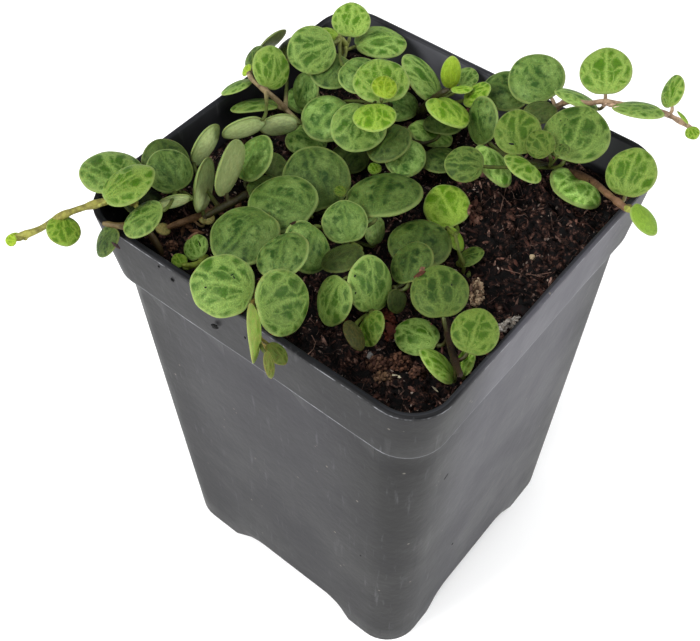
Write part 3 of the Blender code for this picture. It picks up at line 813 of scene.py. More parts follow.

# u and v give a leaf's spot on the rim plane, size its longest diameter, away the angle in degrees between
# its face and the sight line, clock the way its face turns on a dial whose top is the picture's top, root the
# way to its stalk on the same dial, and light a factor on its colour that paints in the light or shade
# reaching the leaf: below 1 it is painted shade, above 1 painted light. A leaf with a larger over lies nearer
# the top of the pile, least is the lowest height it may take, below zero where it hangs in the open at that
# height, and slim is its width over its length. plain, from 0 to 1, is how far its net of veins fades, and
# decay how far it has rotted.
STEMS = [
    Stem("left_trailing", (-26.5, -22), [(-23.5, -27, 89), (-26.5, -27.5, 93.5), (-29, -31, 93.8),
         (-31, -35.5, 93), (-31.5, -39.5, 91.5), (-33, -43, 90.5)], [
        Leaf(-32.5, -24.5, 9.5, 50, 350, 150, GREEN, 1, -2),
        Leaf(-28.5, -25, 8.4, 54, 325, 235, FRESH, 0.8), Leaf(-24, -26, 6, 45, 0, 160, MATURE, 0.2, -10),
        Leaf(-28.7, -37.3, 5, 30, 20, 345, YOUNG, 0.8, 0, -92),
        Leaf(-33, -42.5, 2, 50, 0, 100, BUD, 1, 0, -90.5),
        Leaf(-33, -43.5, 1.8, 30, 270, 90, BUD, 1, 0, -90.5),
    ]),
    Stem("left_corner", (-23.5, -17.5), [(-19.5, -21.5, 87), (-22, -21, 90)], [
        Leaf(-25.5, -19, 7.2, 22, 0, 150, MATURE), Leaf(-27.5, -17.8, 7.5, 25, 0, 160, MATURE, 0.6),
        Leaf(-21.5, -28.5, 6.8, 55, 315, 60, GREEN, 0.8, 0, 94.3),
        Leaf(-20.5, -23, 5.2, 112, 345, 75, OLD, 2.4, 0, 0, 0.9),
    ]),
    Stem("left_stub", (-20.5, -27.5), [(-20.9, -29.4, 89.8), (-22.2, -31.2, 92.1), (-25.2, -32.9, 92.2)], [
        Leaf(-22.3, -35, 5.2, 48, 280, 30, MATURE, 0.6, 0, -90.5, 0.8),
    ]),
    Stem("old_runner", (-17, -13.5), [(-13.3, -18, 85.3), (-15.7, -24, 85.3), (-17.3, -27.6, 85.6)], [
        Leaf(-14.2, -22.6, 2.6, 38, 0, 200, OLD, 2.4, decay=0.45),
        Leaf(-17.6, -28.1, 2.4, 40, 20, 80, OLD, 1.9, decay=0.45),
    ]),
    Stem("left_fan", (-17.5, -7), [(-13, -16, 87.8), (-14, -20, 88), (-14.5, -22.5, 88)], [
        Leaf(-19.4, -18.2, 8.8, 108, 279, 186, OLD, 2.4), Leaf(-19, -13, 9, 112, 288, 190, OLD),
        Leaf(-17.5, -9, 8, 52, 300, 205, MATURE, 1.4, plain=0.8),
        Leaf(-25.5, -11.5, 7.6, 112, 300, 215, OLD, 2.4),
        Leaf(-11.5, -12.7, 6, 40, 0, 250, MATURE, 0.6, -10), Leaf(-14, -8, 5, 40, 30, 200, OLD, 0.8, -10),
    ]),
    Stem("left_climber", (-22, 7), [(-19, 2, 88), (-23.5, 3.5, 92), (-29, 4.5, 95), (-31.5, 5.5, 96)], [
        Leaf(-23.5, -4.5, 7.3, 112, 340, 60, OLD, 2.4), Leaf(-19.5, -0.5, 6.6, 120, 350, 80, OLD, 3),
        Leaf(-25.5, 0.5, 8, 77, 352, 85, GREEN, 0.8), Leaf(-31, 2, 5.5, 75, 335, 60, GREEN, 1.25),
        Leaf(-29.5, 9, 7, 34, 80, 190, FRESH), Leaf(-32.5, 6, 2.2, 60, 300, 140, BUD, 1, 3),
        Leaf(-34.5, 14.5, 6, 105, 320, 215, OLD, 0.8, -2),
        Leaf(-31, 15.5, 5.5, 62, 330, 200, GREEN, 0.2, -2),
        Leaf(-33.7, 9.2, 4.5, 58, 300, 170, GREEN, 0.6, -3),
        Leaf(-14, -0.5, 7, 42, 0, 290, MATURE, 1.9, -12), Leaf(-20.5, 6.5, 6, 38, 0, 120, MATURE, 3, -15),
    ]),
    Stem("back_corner", (-24.5, 22), [(-22, 18.5, 89), (-24, 21.5, 94), (-26, 22.5, 96)], [
        Leaf(-27.5, 17, 8, 15, 0, 70, GREEN, 1, 2), Leaf(-28, 22, 3.5, 50, 10, 100, YOUNG, 1, 6),
        Leaf(-27.5, 27.5, 6.6, 30, 0, 185, FRESH, 1.25, 8), Leaf(-20, 26, 9, 55, 5, 265, GREEN, 1.4),
        Leaf(-21.5, 15, 7.4, 38, 0, 40, MATURE, 1, -6), Leaf(-17, 17, 7.4, 38, 0, 300, MATURE, 1.4, -5),
        Leaf(-21.5, 8, 6.2, 45, 270, 20, MATURE, 1.9, -12),
    ]),
    Stem("back_middle", (-13, 20), [(-9.2, 13.8, 90.6), (-10.8, 14.8, 95.6)], [
        Leaf(-13.5, 18, 9, 40, 0, 165, FRESH, 1, 0), Leaf(-12, 17, 4.2, 35, 20, 190, BUD, 0.8, 3),
        Leaf(-9, 10.5, 6.8, 52, 355, 350, YOUNG, 1, 7), Leaf(-14.5, 5.5, 8.7, 30, 0, 40, MATURE, 1.9),
        Leaf(-9.5, 7, 9, 32, 0, 15, GREEN, 1, 2), Leaf(-7.5, 15, 6.6, 38, 0, 300, MATURE, 2.4, -12),
        Leaf(-12.5, 19, 6.8, 38, 0, 200, MATURE, 1, -15),
    ]),
    Stem("back_sprig", (-8, 22), [(-4, 17, 89), (-4, 21, 94), (-3.5, 23, 95.5)], [
        Leaf(-5.5, 26.5, 5.6, 22, 180, 185, BUD, 1, 3, 0, 0.6, plain=0.6),
        Leaf(-3, 27.5, 4, 35, 0, 210, GREEN, 1.25, -1),
        Leaf(-2, 24.5, 3.6, 65, 0, 265, YOUNG, 1.25, 4, 0, 0.8),
        Leaf(0.5, 25, 5.2, 55, 320, 250, YOUNG, 1, 1), Leaf(-0.5, 19, 7.6, 60, 25, 320, YOUNG, 1, 3),
        Leaf(-8.5, 23, 9.3, 62, 52, 140, GREEN, 1.4, 0),
    ]),
    Stem("middle", (-2.5, 16.5), [(0.5, 9.5, 87), (-2, 9, 89)], [
        Leaf(-3.5, 7, 7.6, 45, 330, 40, MATURE, 0.6, -3), Leaf(0.5, 6, 6.8, 25, 0, 20, MATURE, 1.9, -7),
        Leaf(5, 9, 6.4, 50, 0, 300, MATURE, 0.6, -8), Leaf(0.5, 16, 6.5, 55, 0, 200, MATURE, 0.8, -2),
        Leaf(0.3, 13, 7.8, 60, 20, 300, GREEN, 2.4, -6),
    ]),
    Stem("overhang", (9, 26), [(12.5, 30, 92), (13.5, 33, 96), (16, 34.5, 97), (18, 36.5, 97),
         (23.5, 39, 96.5), (27, 40, 96), (32, 39.5, 95)], [
        Leaf(6, 34.5, 9.2, 30, 350, 140, MATURE, 1.4, 4), Leaf(4, 29, 8, 35, 0, 110, MATURE),
        Leaf(11, 28, 5.4, 50, 0, 60, OLD, 0.6, -4), Leaf(14, 34.5, 7.4, 76, 25, 110, GREEN, 1.4, 0, 96),
        Leaf(14, 43.3, 8.1, 28, 0, 180, FRESH, 1, 0, 99),
        Leaf(23, 38.5, 7.8, 74, 10, 95, GREEN, 1.25, 0, 97.5),
        Leaf(25, 45.5, 5.4, 50, 300, 185, FRESH, 1, 0, 98.5, 0.85),
        Leaf(29.5, 41, 2.6, 75, 50, 140, YOUNG, 1, 0, 97, 0.5),
        Leaf(32.3, 38.7, 2.2, 25, 0, 330, YOUNG, 1, 0, 96),
    ]),
    Stem("right_clump", (12, 22), [(17, 17.5, 88), (19, 18, 90)], [
        Leaf(11, 21.5, 7.2, 18, 0, 175, FRESH, 0.6, 4), Leaf(15.2, 21.5, 4.5, 20, 0, 140, FRESH, 0.5, 7),
        Leaf(18.5, 22.5, 2.4, 40, 0, 220, GREEN, 0.5, 8), Leaf(18.3, 27, 10.2, 34, 5, 205, GREEN, 0.8),
        Leaf(5, 20, 7.8, 52, 270, 165, MATURE), Leaf(12.2, 13.3, 8, 63, 50, 340, GREEN, 2.4, -6),
        Leaf(16, 15.5, 6.5, 67, 35, 70, FRESH), Leaf(8.6, 10.5, 6, 22, 0, 95, GREEN, 0.6),
    ]),
    Stem("right_runner", (18, 25), [(25, 19.5, 89), (29, 18.5, 92.8), (33, 17.5, 94)], [
        Leaf(24.5, 17, 9.2, 60, 35, 80, GREEN, 3), Leaf(29.3, 24.7, 7.6, 20, 330, 195, FRESH, 0.8, 0, 95),
        Leaf(35.7, 17.5, 5.3, 50, 60, 320, YOUNG, 1, 0, 95, 0.8, plain=0.9),
    ]),
    Stem("left_centre", (-9, -8), [(-6, -14, 87), (-8.5, -16.5, 88)], [
        Leaf(-7, -6.3, 10.7, 18, 0, 160, MATURE, 0.8), Leaf(-7.7, -13.2, 10.8, 38, 340, 110, MATURE),
        Leaf(-7.8, -21.5, 10.6, 36, 340, 45, MATURE), Leaf(-6, 0.5, 6.5, 40, 0, 200, MATURE, 0.38, -12),
        Leaf(-9.3, -10, 5.4, 38, 0, 130, MATURE, 1, -15),
    ]),
    Stem("centre", (0.5, -8), [(3, -13.5, 87)], [
        Leaf(1, -17.5, 7.9, 38, 65, 20, MATURE, 1.4), Leaf(2, -10.5, 6.9, 22, 0, 170, MATURE, 1.25),
        Leaf(6, -16, 6.4, 55, 340, 60, OLD, 0.38), Leaf(6.5, -9, 4.8, 48, 90, 170, OLD, 2.4, -10),
        Leaf(2.8, -2.4, 11.8, 56, 350, 200, MATURE, 0.8, -2), Leaf(-1.5, 1, 2.3, 35, 0, 150, YOUNG, 1.9, 2),
        Leaf(-2.5, -6, 1.9, 25, 0, 120, YOUNG, 0.38, 5),
    ]),
    Stem("front", (-4, -22), [(1.5, -29.5, 91), (3, -31.5, 94), (6, -34, 93), (9, -35, 90.5)], [
        Leaf(-3.5, -30.5, 9, 14, 320, 100, GREEN, 1, 1), Leaf(5, -27.5, 9.2, 38, 85, 250, GREEN, 1, 1),
        Leaf(5.5, -33.8, 8, 80, 85, 0, FRESH, 1.4, 2, -93.5, 0.8, plain=0.5, decay=0.2),
        Leaf(10, -34.5, 3.6, 50, 45, 320, FRESH, 0.5, 0, -93, decay=0.2),
        Leaf(10.5, -36.5, 3.6, 70, 80, 345, FRESH, 0.8, 0, -91.5, decay=0.25),
        Leaf(-1, -21, 8, 45, 325, 195, MATURE, 1, 2),
    ]),
    Stem("front_left", (-13.5, -24.5), [(-9, -30, 86), (-10.5, -31.5, 87)], [
        Leaf(-11.5, -31, 2.4, 30, 0, 150, YOUNG), Leaf(-11.5, -27.8, 4.2, 35, 300, 160, GREEN, 1.9),
    ]),
    Stem("front_middle", (10, -14), [(15.5, -20.5, 86), (15, -17, 87.5)], [
        Leaf(10, -23, 7.3, 48, 275, 20, GREEN, 0.8, 1), Leaf(12.5, -17.5, 8.2, 40, 90, 175, GREEN),
        Leaf(14.2, -10.8, 7, 42, 315, 190, MATURE, 0.6), Leaf(12.9, -6.9, 9.5, 40, 0, 180, MATURE, 0.6),
        Leaf(17, -17.5, 3.6, 40, 90, 0, OLD, 0.38, -2), Leaf(17, -23.5, 5.3, 52, 290, 350, FRESH, 0.5),
        Leaf(16.2, -25.7, 4.6, 60, 60, 10, OLD, 0.38, -1, decay=0.6),
    ]),
    Stem("front_right", (19.5, -10), [(25, -17, 86.5), (28, -20, 88.5), (31, -22.3, 92)], [
        Leaf(20.5, -12.5, 8.2, 24, 0, 170, GREEN, 0.5), Leaf(28.3, -15.2, 6.6, 18, 0, 200, FRESH, 0.6),
        Leaf(22.7, -20.6, 6.5, 35, 0, 110, GREEN, 1.4), Leaf(27.8, -22.6, 6.3, 64, 45, 130, FRESH, 1.4),
        Leaf(30.1, -20.2, 4.3, 56, 290, 190, FRESH, 1.4, -8),
    ]),
    Stem("right_centre", (17.5, -1.5), [(18.5, -5, 87.5), (16, -2.5, 89.5)], [
        Leaf(11.7, 1.4, 7.3, 22, 0, 150, YOUNG, 1.25), Leaf(16.5, -3, 4, 58, 60, 330, YOUNG, plain=0.7),
        Leaf(20, -4.5, 4.2, 52, 330, 250, GREEN, 0.5),
    ]),
]


# %% The rule that lays them
def on_sight_line(u, v, z):
    """The point at height z that is seen from EYE at spot (u, v) of the rim plane."""
    spot = np.array([u, v, SIGHT_PLANE])
    return EYE + (spot - EYE) * ((z - EYE[2]) / (SIGHT_PLANE - EYE[2]))


def picture_axes(point):
    sight = unit(EYE - point)
    across = unit(np.cross(PICTURE_UP, sight))
    return sight, across, np.cross(sight, across)


def dial(across, upward, degrees):
    turn = math.radians(degrees)
    return math.sin(turn) * across + math.cos(turn) * upward


class Blade:
    """One leaf blade: its middle, its face's normal and the way from its middle to its root."""

    def __init__(self, leaf, stem_name):
        self.leaf = leaf
        self.stem = stem_name
        self.half = leaf.size / 2
        self.wide = self.half * leaf.slim
        self.set_height(max(leaf.least, SOIL_TOP + SOIL_CLEAR))

    def set_height(self, z):
        leaf = self.leaf
        self.middle = on_sight_line(leaf.u, leaf.v, z)
        sight, across, upward = picture_axes(self.middle)
        away = math.radians(leaf.away)
        self.normal = math.cos(away) * sight + math.sin(away) * dial(across, upward, leaf.clock)
        root = dial(across, upward, leaf.root)
        facing = self.normal @ sight
        facing = math.copysign(max(abs(facing), 0.2), facing)
        root = root - sight * (self.normal @ root) / facing
        self.root = unit(root - self.normal * (self.normal @ root))
        self.side = np.cross(self.normal, self.root)

    def at(self, side, root, up=0.0):
        return self.middle + self.side * side + self.root * root + self.normal * up

    def samples(self):
        points = [self.middle]
        for share, count in ((0.4, 6), (0.75, 10), (1.0, 16)):
            for k in range(count):
                turn = 2 * math.pi * k / count
                side = share * self.wide * math.sin(turn)
                points.append(self.at(side, share * self.half * math.cos(turn)))
        return np.array(points)

    def half_thickness(self, share):
        return 0.1 + LEAF_THICK * self.leaf.size * (1 - share**2)


def hits(blade, directions):
    """How far along each direction from EYE the blade's plane lies, and how far out on the blade."""
    facing = directions @ blade.normal
    facing = np.where(np.abs(facing) < 1e-3, 1e-3, facing)
    distance = ((blade.middle - EYE) @ blade.normal) / facing
    offset = EYE + directions * distance[:, None] - blade.middle
    share = np.hypot(offset @ blade.side / blade.wide, offset @ blade.root / blade.half)
    return distance, share


def lift_over(upper, lower):
    """How far the upper blade must come towards EYE to lie wholly in front of the lower one."""
    if np.linalg.norm(upper.middle - lower.middle) > upper.half + lower.half + 12:
        return 0.0
    directions = np.vstack([upper.samples(), lower.samples()]) - EYE
    directions /= np.linalg.norm(directions, axis=1)[:, None]
    far, share_low = hits(lower, directions)
    near, share_up = hits(upper, directions)
    both = (share_low <= 1.02) & (share_up <= 1.02)
    if not both.any():
        return 0.0
    directions = directions[both]
    low_face = np.maximum(np.abs(directions @ lower.normal), 0.3)
    up_face = np.maximum(np.abs(directions @ upper.normal), 0.3)
    room = lower.half_thickness(np.minimum(share_low[both], 1)) / low_face
    room = room + upper.half_thickness(np.minimum(share_up[both], 1)) / up_face + LEAF_CLEAR
    return float(np.max(near[both] - far[both] + room))


def lift_off_ground(blade):
    """How far the blade must rise to clear the soil inside the pot and the rim over its walls."""
    lift = 0.0
    for point in blade.samples()[1:]:
        over_wall = max(abs(point[0]), abs(point[1])) > RIM_HALF - WALL - 0.9
        floor = POT_HEIGHT + RIM_CLEAR if over_wall else SOIL_TOP + SOIL_CLEAR
        lift = max(lift, floor - point[2])
    return lift


def row_of(blade):
    """How far towards the viewer the leaf's spot lies on the rim plane, in millimetres."""
    towards = unit(np.array([EYE[0], EYE[1]]))
    return blade.leaf.u * towards[0] + blade.leaf.v * towards[1] + blade.leaf.over


def settle(stems):
    """Lays the blades in the pot one on another, from the far side of the picture to the near one."""
    blades = [Blade(leaf, stem.name) for stem in stems for leaf in stem.leaves]
    laid = []
    for blade in sorted(blades, key=row_of):
        hangs = blade.leaf.least < 0
        if hangs:
            blade.set_height(-blade.leaf.least)
        for _ in range(LIFT_ROUNDS):
            lift = 0.0 if hangs else lift_off_ground(blade)
            lift = max([lift] + [lift_over(blade, lower) for lower in laid])
            if lift <= 0.02:
                break
            blade.set_height(blade.middle[2] + min(lift, LIFT_LIMIT) * (0.8 if lift > 0.3 else 1.0))
        laid.append(blade)
    return laid


def smooth_route(points, pitch):
    """Points along a Catmull-Rom curve through the given points, about pitch apart."""
    points = [np.array(p, float) for p in points]
    ends = [2 * points[0] - points[1]] + points + [2 * points[-1] - points[-2]]
    out = []
    for a, b, c, d in zip(ends, ends[1:], ends[2:], ends[3:]):
        count = max(1, round(np.linalg.norm(c - b) / pitch))
        for k in range(count):
            t = k / count
            out.append(0.5 * (2 * b + (c - a) * t + (2 * a - 5 * b + 4 * c - d) * t**2
                              + (3 * b - a - 3 * c + d) * t**3))
    return out + [points[-1]]


def stem_route(stem, pitch=STEM_PITCH):
    """The stem's middle line, from the foot of its hole in the soil to its tip."""
    heights = (HOLE_FOOT + HOLE_GAP, SOIL_TOP, SOIL_TOP + SPROUT)
    foot, neck, sprout = [np.array([*stem.hole, z]) for z in heights]
    above = [on_sight_line(*spot) for spot in stem.route]
    return smooth_route([foot, neck, sprout] + above, pitch)


def stalk_joint(blade, route):
    """The point of the stem where a blade's stalk leaves it, the nearest one to the stalk's bend."""
    bend = blade.at(0, blade.half + 0.8, -0.7)
    above = [p for p in route if p[2] > SOIL_TOP + 1]
    return min(above, key=lambda p: np.linalg.norm(p - bend))


blades = settle(STEMS)
print(len(blades), "leaves on", len(STEMS), "stems")

# %% [markdown]
# One leaf
#
# A turtle leaf is a thick little lens, nearly round, with a notch where its stalk joins and the hint of
# a point at the far end. Its top is domed and its rim is full and round. The master starts as a ball
# and is pressed flat; a formula then gives each copy its own outline, cup, waves and sunken midrib.
# The ball's own coordinates are kept on the points, flat.x across, flat.y from stalk to tip and flat.z
# up, because the material draws the veins from them.

# %% The master leaf and its copies
LEAF_SEGMENTS, LEAF_RINGS = 48, 26
LOBE_WAVE, SADDLE_WAVE, EDGE_WAVE, GROOVE = 0.011, 0.009, 0.006, 0.013
let_go()
bpy.ops.mesh.primitive_uv_sphere_add(segments=LEAF_SEGMENTS, ring_count=LEAF_RINGS, radius=1.0)
master_leaf = just_added("master_leaf")


def leaf_reach(turn, leaf):
    """How far the edge lies from the middle, as a share, at a turn from the stalk."""
    notch = 0.07 * np.exp(-((turn / 0.35) ** 2))
    point = (0.03 + 0.05 * leaf.age) * np.exp(-(((turn - math.pi) / 0.4) ** 2))
    return 1.0 - notch + point


def leaf_copy(blade, seed):
    """A copy of the master, bent into the blade's own form and laid in its place."""
    leaf = blade.leaf
    draw = np.random.default_rng(seed)
    x, y, z = points_of(master_leaf).T
    share = np.clip(np.hypot(x, y), 0, 1)
    angle = np.arctan2(x, y)
    reach = leaf_reach(np.abs(angle), leaf)
    for lobes in (2, 3, 5, 8):
        wave = draw.normal(0, LOBE_WAVE / lobes**0.5) * np.cos(lobes * angle + draw.uniform(0, 6.3))
        reach = reach + wave * share
    fall = np.sqrt(1 - share**2)
    up = np.where(z >= 0, LEAF_THICK * fall, -LEAF_THICK * fall * (0.55 + 0.45 * fall**2))
    up = up - LEAF_DOME * share**2
    up = up + draw.normal(0, SADDLE_WAVE) * share**2 * np.cos(2 * angle + draw.uniform(0, 6.3))
    up = up + draw.normal(0, EDGE_WAVE) * share**3 * np.cos(3 * angle + draw.uniform(0, 6.3))
    groove = np.exp(-((x / 0.055) ** 2)) * np.clip(0.55 + 0.45 * y, 0, 1) * (share < 0.97)
    up = up - np.where(z > 0, GROOVE * groove, 0)
    laid = blade.middle + np.outer(blade.wide * x * reach, blade.side)
    laid = laid + np.outer(blade.half * y * reach, blade.root)
    laid = laid + np.outer(up * leaf.size, blade.normal)
    piece = add_piece("leaf", master_leaf.data.copy())
    put_points(piece, (laid + POT_AXIS) * MM)
    keep_numbers(piece, "leaf_flat", "FLOAT_VECTOR", np.column_stack([x, -y, z]))
    traits = (leaf.age, draw.uniform(0, 1), leaf.plain, leaf.decay)
    keep_numbers(piece, "leaf_traits", "FLOAT_COLOR", np.tile(traits, (len(x), 1)))
    # The leaf's light factor, a painted light or shade, is stored on its points for the material.
    blue = leaf.light ** (1.3 if leaf.light < 1 else 1.12)
    keep_numbers(piece, "painted_leaf_light", "FLOAT_VECTOR",
                 np.tile((leaf.light, leaf.light, blue), (len(x), 1)))
    return piece


# %% [markdown]
# Stems and stalks
#
# A stem is a fleshy thread about a millimetre thick that swells a little where each leaf stalk leaves
# it. Both are curves with a round bevel, whose radius is set point by point, turned into meshes and
# joined with the leaves of the same stem. Old stems are brown near the soil and green at the tip.

# %% Stems with their stalks and leaves
STEM_TINTS = {
    "left_trailing": ((118, 100, 64), (178, 178, 84)),
    "left_stub": ((40, 32, 24), (116, 100, 62)),
    "old_runner": ((112, 78, 54), (150, 116, 82)),
    "left_climber": ((120, 92, 70), (168, 150, 112)),
    "back_corner": ((128, 112, 70), (150, 160, 84)),
    "overhang": ((132, 110, 72), (206, 174, 146)),
    "right_runner": ((68, 46, 38), (146, 112, 84)),
    "front_right": ((30, 22, 17), (50, 40, 24)),
    "right_centre": ((50, 52, 28), (112, 130, 56)),
    "front": ((108, 78, 48), (150, 134, 66)),
    "front_left": ((130, 140, 60), (140, 160, 60)),
}
# The stems without a tint of their own run under the leaves: their plain tint is their own dark brown and
# olive, darkened further as painted shade.
PLAIN_STEM = ((42, 34, 26), (58, 60, 34))
STEM_SLIM = {"overhang": 0.78, "right_centre": 0.55, "left_climber": 0.82, "front_left": 0.8, "front": 0.9}
STALK_GREEN = colour(92, 108, 50)
STALK_THIN = 0.72
FINE_PITCH = 0.7


def gaps_to(points, place):
    return np.linalg.norm(np.asarray(points) - place, axis=1)


def stem_tube(stem, stem_blades):
    """The stem's tube, swollen where each stalk leaves it, with its tint going from soil to tip."""
    line = stem_route(stem, FINE_PITCH)
    coarse = stem_route(stem)
    joints = [stalk_joint(blade, coarse) for blade in stem_blades]
    radii = []
    for k, point in enumerate(line):
        radius = STEM_RADIUS + (TIP_RADIUS - STEM_RADIUS) * k / (len(line) - 1)
        swell = max(math.exp(-(np.linalg.norm(point - joint) / 0.9) ** 2) for joint in joints)
        wobble = noise.noise(Vector(point * 1.1)) * 0.16 + noise.noise(Vector(point * 2.7)) * 0.08
        radii.append(radius * STEM_SLIM.get(stem.name, 1.0) * (0.93 + 0.28 * swell + wobble))
    radii[-1] *= 0.6
    tube = tubes("stem_tube", [(line, radii)], 2)
    low, high = (np.array(colour(*c)) for c in STEM_TINTS.get(stem.name, PLAIN_STEM))
    along = [gaps_to(line, place / MM - POT_AXIS).argmin() / (len(line) - 1)
             for place in points_of(tube)]
    keep_numbers(tube, "tint", "FLOAT_COLOR", [low + (high - low) * a for a in along])
    return tube


def stalk_tubes(stem, stem_blades):
    """The short stalks: brown like the stem at one end, green at the leaf."""
    coarse = stem_route(stem)
    lines = []
    for blade in stem_blades:
        inside = blade.at(0, 0.86 * blade.half, -0.07 * blade.leaf.size)
        bend = blade.at(0, blade.half + 0.8, -0.07 * blade.leaf.size - 0.5)
        joint = stalk_joint(blade, coarse)
        radius = STALK_THIN * PETIOLE_RADIUS * min(1.0, blade.leaf.size / 4)
        line = [inside * (1 - t) ** 2 + bend * 2 * t * (1 - t) + joint * t**2
                for t in np.linspace(0, 1, 11)]
        lines.append((line, [radius * s for s in (0.8, 0.9, 1, 1, 0.95, 0.92, 0.92, 0.95, 1.05, 1.2, 1.3)]))
    stalks = tubes("stalks", lines, 2)
    high = np.array(colour(*STEM_TINTS.get(stem.name, PLAIN_STEM)[1]))
    tints = []
    for place in points_of(stalks):
        away = gaps_to(coarse, place / MM - POT_AXIS).min()
        share = min(1.0, max(0.0, (away - 0.8) / 2.5))
        tints.append(high + (np.array(STALK_GREEN) - high) * share)
    keep_numbers(stalks, "tint", "FLOAT_COLOR", tints)
    return stalks


LEAF_SEED = 500
leafy_stems = []
for number, stem in enumerate(STEMS):
    mine = [blade for blade in blades if blade.stem == stem.name]
    wood = [stem_tube(stem, mine), stalk_tubes(stem, mine)]
    green = [leaf_copy(blade, LEAF_SEED + number * 20 + stem.leaves.index(blade.leaf)) for blade in mine]
    leafy_stems.append((stem.name, wood, green))
bpy.data.objects.remove(master_leaf)
print("made", sum(len(green) for _, _, green in leafy_stems), "fine leaves")

# %% [markdown]
# Leaf and stem finish
#
# A young leaf is bright yellow-green with pale broad veins: one straight up the middle and two on each
# side that leave the stalk fanwise. Small cross veins cut the green between them into patches. With age
# the green turns grey and the net fades to a soft mottle. A fan of veins is easiest to draw by angle: a
# side vein runs where the way from the stalk lies at a certain angle to the midrib, and an angle that
# grows towards the tip curves the vein inwards.

# %% The leaf's material
leaf_finish = f = Finish("turtle_leaf", Specular_IOR_Level=0.13, Subsurface_Weight=0.12,
                         Subsurface_Scale=0.0009)
flat = f.stored("leaf_flat")
age, seed, plain = f.parts(f.stored("leaf_traits"))
decay = f.stored("leaf_traits", "Alpha")
shift = f.joined(seed * 31.0, seed * 17.0, seed * 53.0)
spot = flat + shift
wander = f.noise(spot, 1.7, 2.0, outlet="Color") - (0.5, 0.5, 0.5)
across, along, upper = f.parts(flat + wander * (0.34, 0.26, 0.0))
radius = worked("LENGTH", flat * (1, 1, 0))

from_stalk = larger(along + 1.08, 0.02)
side_way = abs(across)
reach_out = worked("LENGTH", f.joined(side_way, from_stalk))
fan = worked("ARCTAN2", across, from_stalk) * f.ease(along, -1.0, 1.0, 1.0, 1.22)


def from_vein(middle):
    """How far a point lies from the vein that leaves the stalk at this angle."""
    return abs(abs(fan) - middle) * reach_out


net = f.cells(f.joined(fan * 3.1, reach_out * 1.9) + shift, 1.0, "DISTANCE_TO_EDGE")
net = net * 0.55 + f.ease(radius, 0.2, 0.7, 0.08, 0.0)
from_midrib = side_way * f.ease(along, -0.9, 0.7, 0.75, 1.2)
nearest_vein = smaller(smaller(from_midrib, smaller(from_vein(0.60), from_vein(1.12))), net)
uneven = f.noise(spot, 5.0, 4.0, 0.62)
ragged_edge = (uneven - 0.5) * 0.26 + (f.noise(spot, 15.0, 3.0, 0.7) - 0.5) * 0.2
island = f.ease(nearest_vein + ragged_edge, -0.01, 0.17)
fade = larger(f.ease(along, -1.0, -0.55, 0.8, 0.0), f.ease(radius, 0.94, 0.99, 0.0, 0.7))
pale = larger(1.0 - island, fade)
pale = (pale + (0.55 - pale) * plain) * f.ease(age, 0.05, 0.45, 0.55, 1.0)

AGES = (OLD, MATURE, GREEN, FRESH, YOUNG, BUD)
PATCHES = ((82, 102, 52), (50, 78, 26), (66, 102, 28), (84, 124, 14), (98, 140, 12), (132, 166, 24))
PALES = ((138, 156, 94), (120, 148, 74), (142, 172, 88), (150, 180, 86), (158, 190, 76), (176, 206, 70))
face = f.blend(pale, f.ramp(age, *zip(AGES, PATCHES)), f.ramp(age, *zip(AGES, PALES)))

# %% The leaf's mottle, specks, underside, decay and painted light
beside_rib = f.ease(side_way, 0.06, 0.34, 0.25, 1.0) * f.ease(radius, 0.75, 1.0, 1.0, 0.5)
mottle = f.ease(f.noise(spot, 2.6, 5.0, 0.62), 0.40, 0.62) * beside_rib
face = f.blend(mottle * f.ease(age, 0.12, 0.60, 0.85, 0.0), face, (122, 148, 80))
shade_patch = f.ease(f.noise(spot, 0.9, 2.0), 0.40, 0.62, 0.0, 0.6) * f.ease(age, 0.2, 0.65, 1.0, 0.3)
face = f.stain(shade_patch, face, (0.62, 0.68, 0.55, 1))
grain = f.noise(spot, 26.0, 3.0, 0.7)
face = f.stain(0.8, face, f.ramp(grain, (0.3, (0.58, 0.58, 0.5, 1)), (0.7, (1.42, 1.42, 1.5, 1))))
face = f.stain(0.7, face, f.ramp(uneven, (0.35, (0.74, 0.78, 0.7, 1)), (0.65, (1.26, 1.22, 1.3, 1))))
# A pale band round the edge: partly the leaf's own lighter margin, partly a painted highlight on its round
# rim.
face = f.blend(f.ease(radius, 0.9, 0.975) * 0.5, face, (168, 188, 112))
specks = f.ease(f.cells(spot, 5.5), 0.035, 0.055, 1.0, 0.0) * f.ease(f.noise(spot, 1.7), 0.52, 0.56)
face = f.blend(specks, face, (30, 34, 22))

# The underside is paler than the top, and its colours are raised further as a painted light.
under = f.ramp(age, (0.0, (170, 184, 122)), (0.4, (160, 180, 108)), (1.0, (168, 190, 84)))
under = f.blend(mottle * 0.4, under, (172, 184, 128))
under = f.blend(f.ease(grain, 0.5, 0.8, 0.0, 0.35), under, (112, 130, 80))
under = f.stain(0.8, under, f.ramp(uneven, (0.35, (0.78, 0.8, 0.72, 1)), (0.65, (1.2, 1.18, 1.24, 1))))
under = f.blend(f.ease(radius, 0.55, 0.9, 0.0, 0.35), under, (124, 146, 84))
face = f.blend(f.ease(upper, -0.12, 0.02), under, face)

blotch = uneven - 0.5
rotten = f.ramp(decay + blotch * 0.9, (0.4, (146, 136, 82)), (0.68, (88, 100, 58)), (0.85, (96, 84, 50)),
                (1.0, (54, 46, 28)))
face = f.blend(f.ease(decay + blotch * 0.5, 0.1, 0.4), face, rotten)
# Painted light and shade: each leaf's colour is scaled by its own light factor, which is held near 1 at the
# rim.
light = f.stored("painted_leaf_light")
painted_light_held_at_rim = f.blend(f.ease(radius, 0.84, 0.97), light, smaller(light, (1.15, 1.15, 1.15)))
f.wear("Base Color", face * painted_light_held_at_rim)
f.wear("Roughness", f.ease(grain, 0.3, 0.7, 0.42, 0.58))
f.bump(island * 0.6 + grain * 0.35 + uneven * 0.5, 0.00014, 0.6)

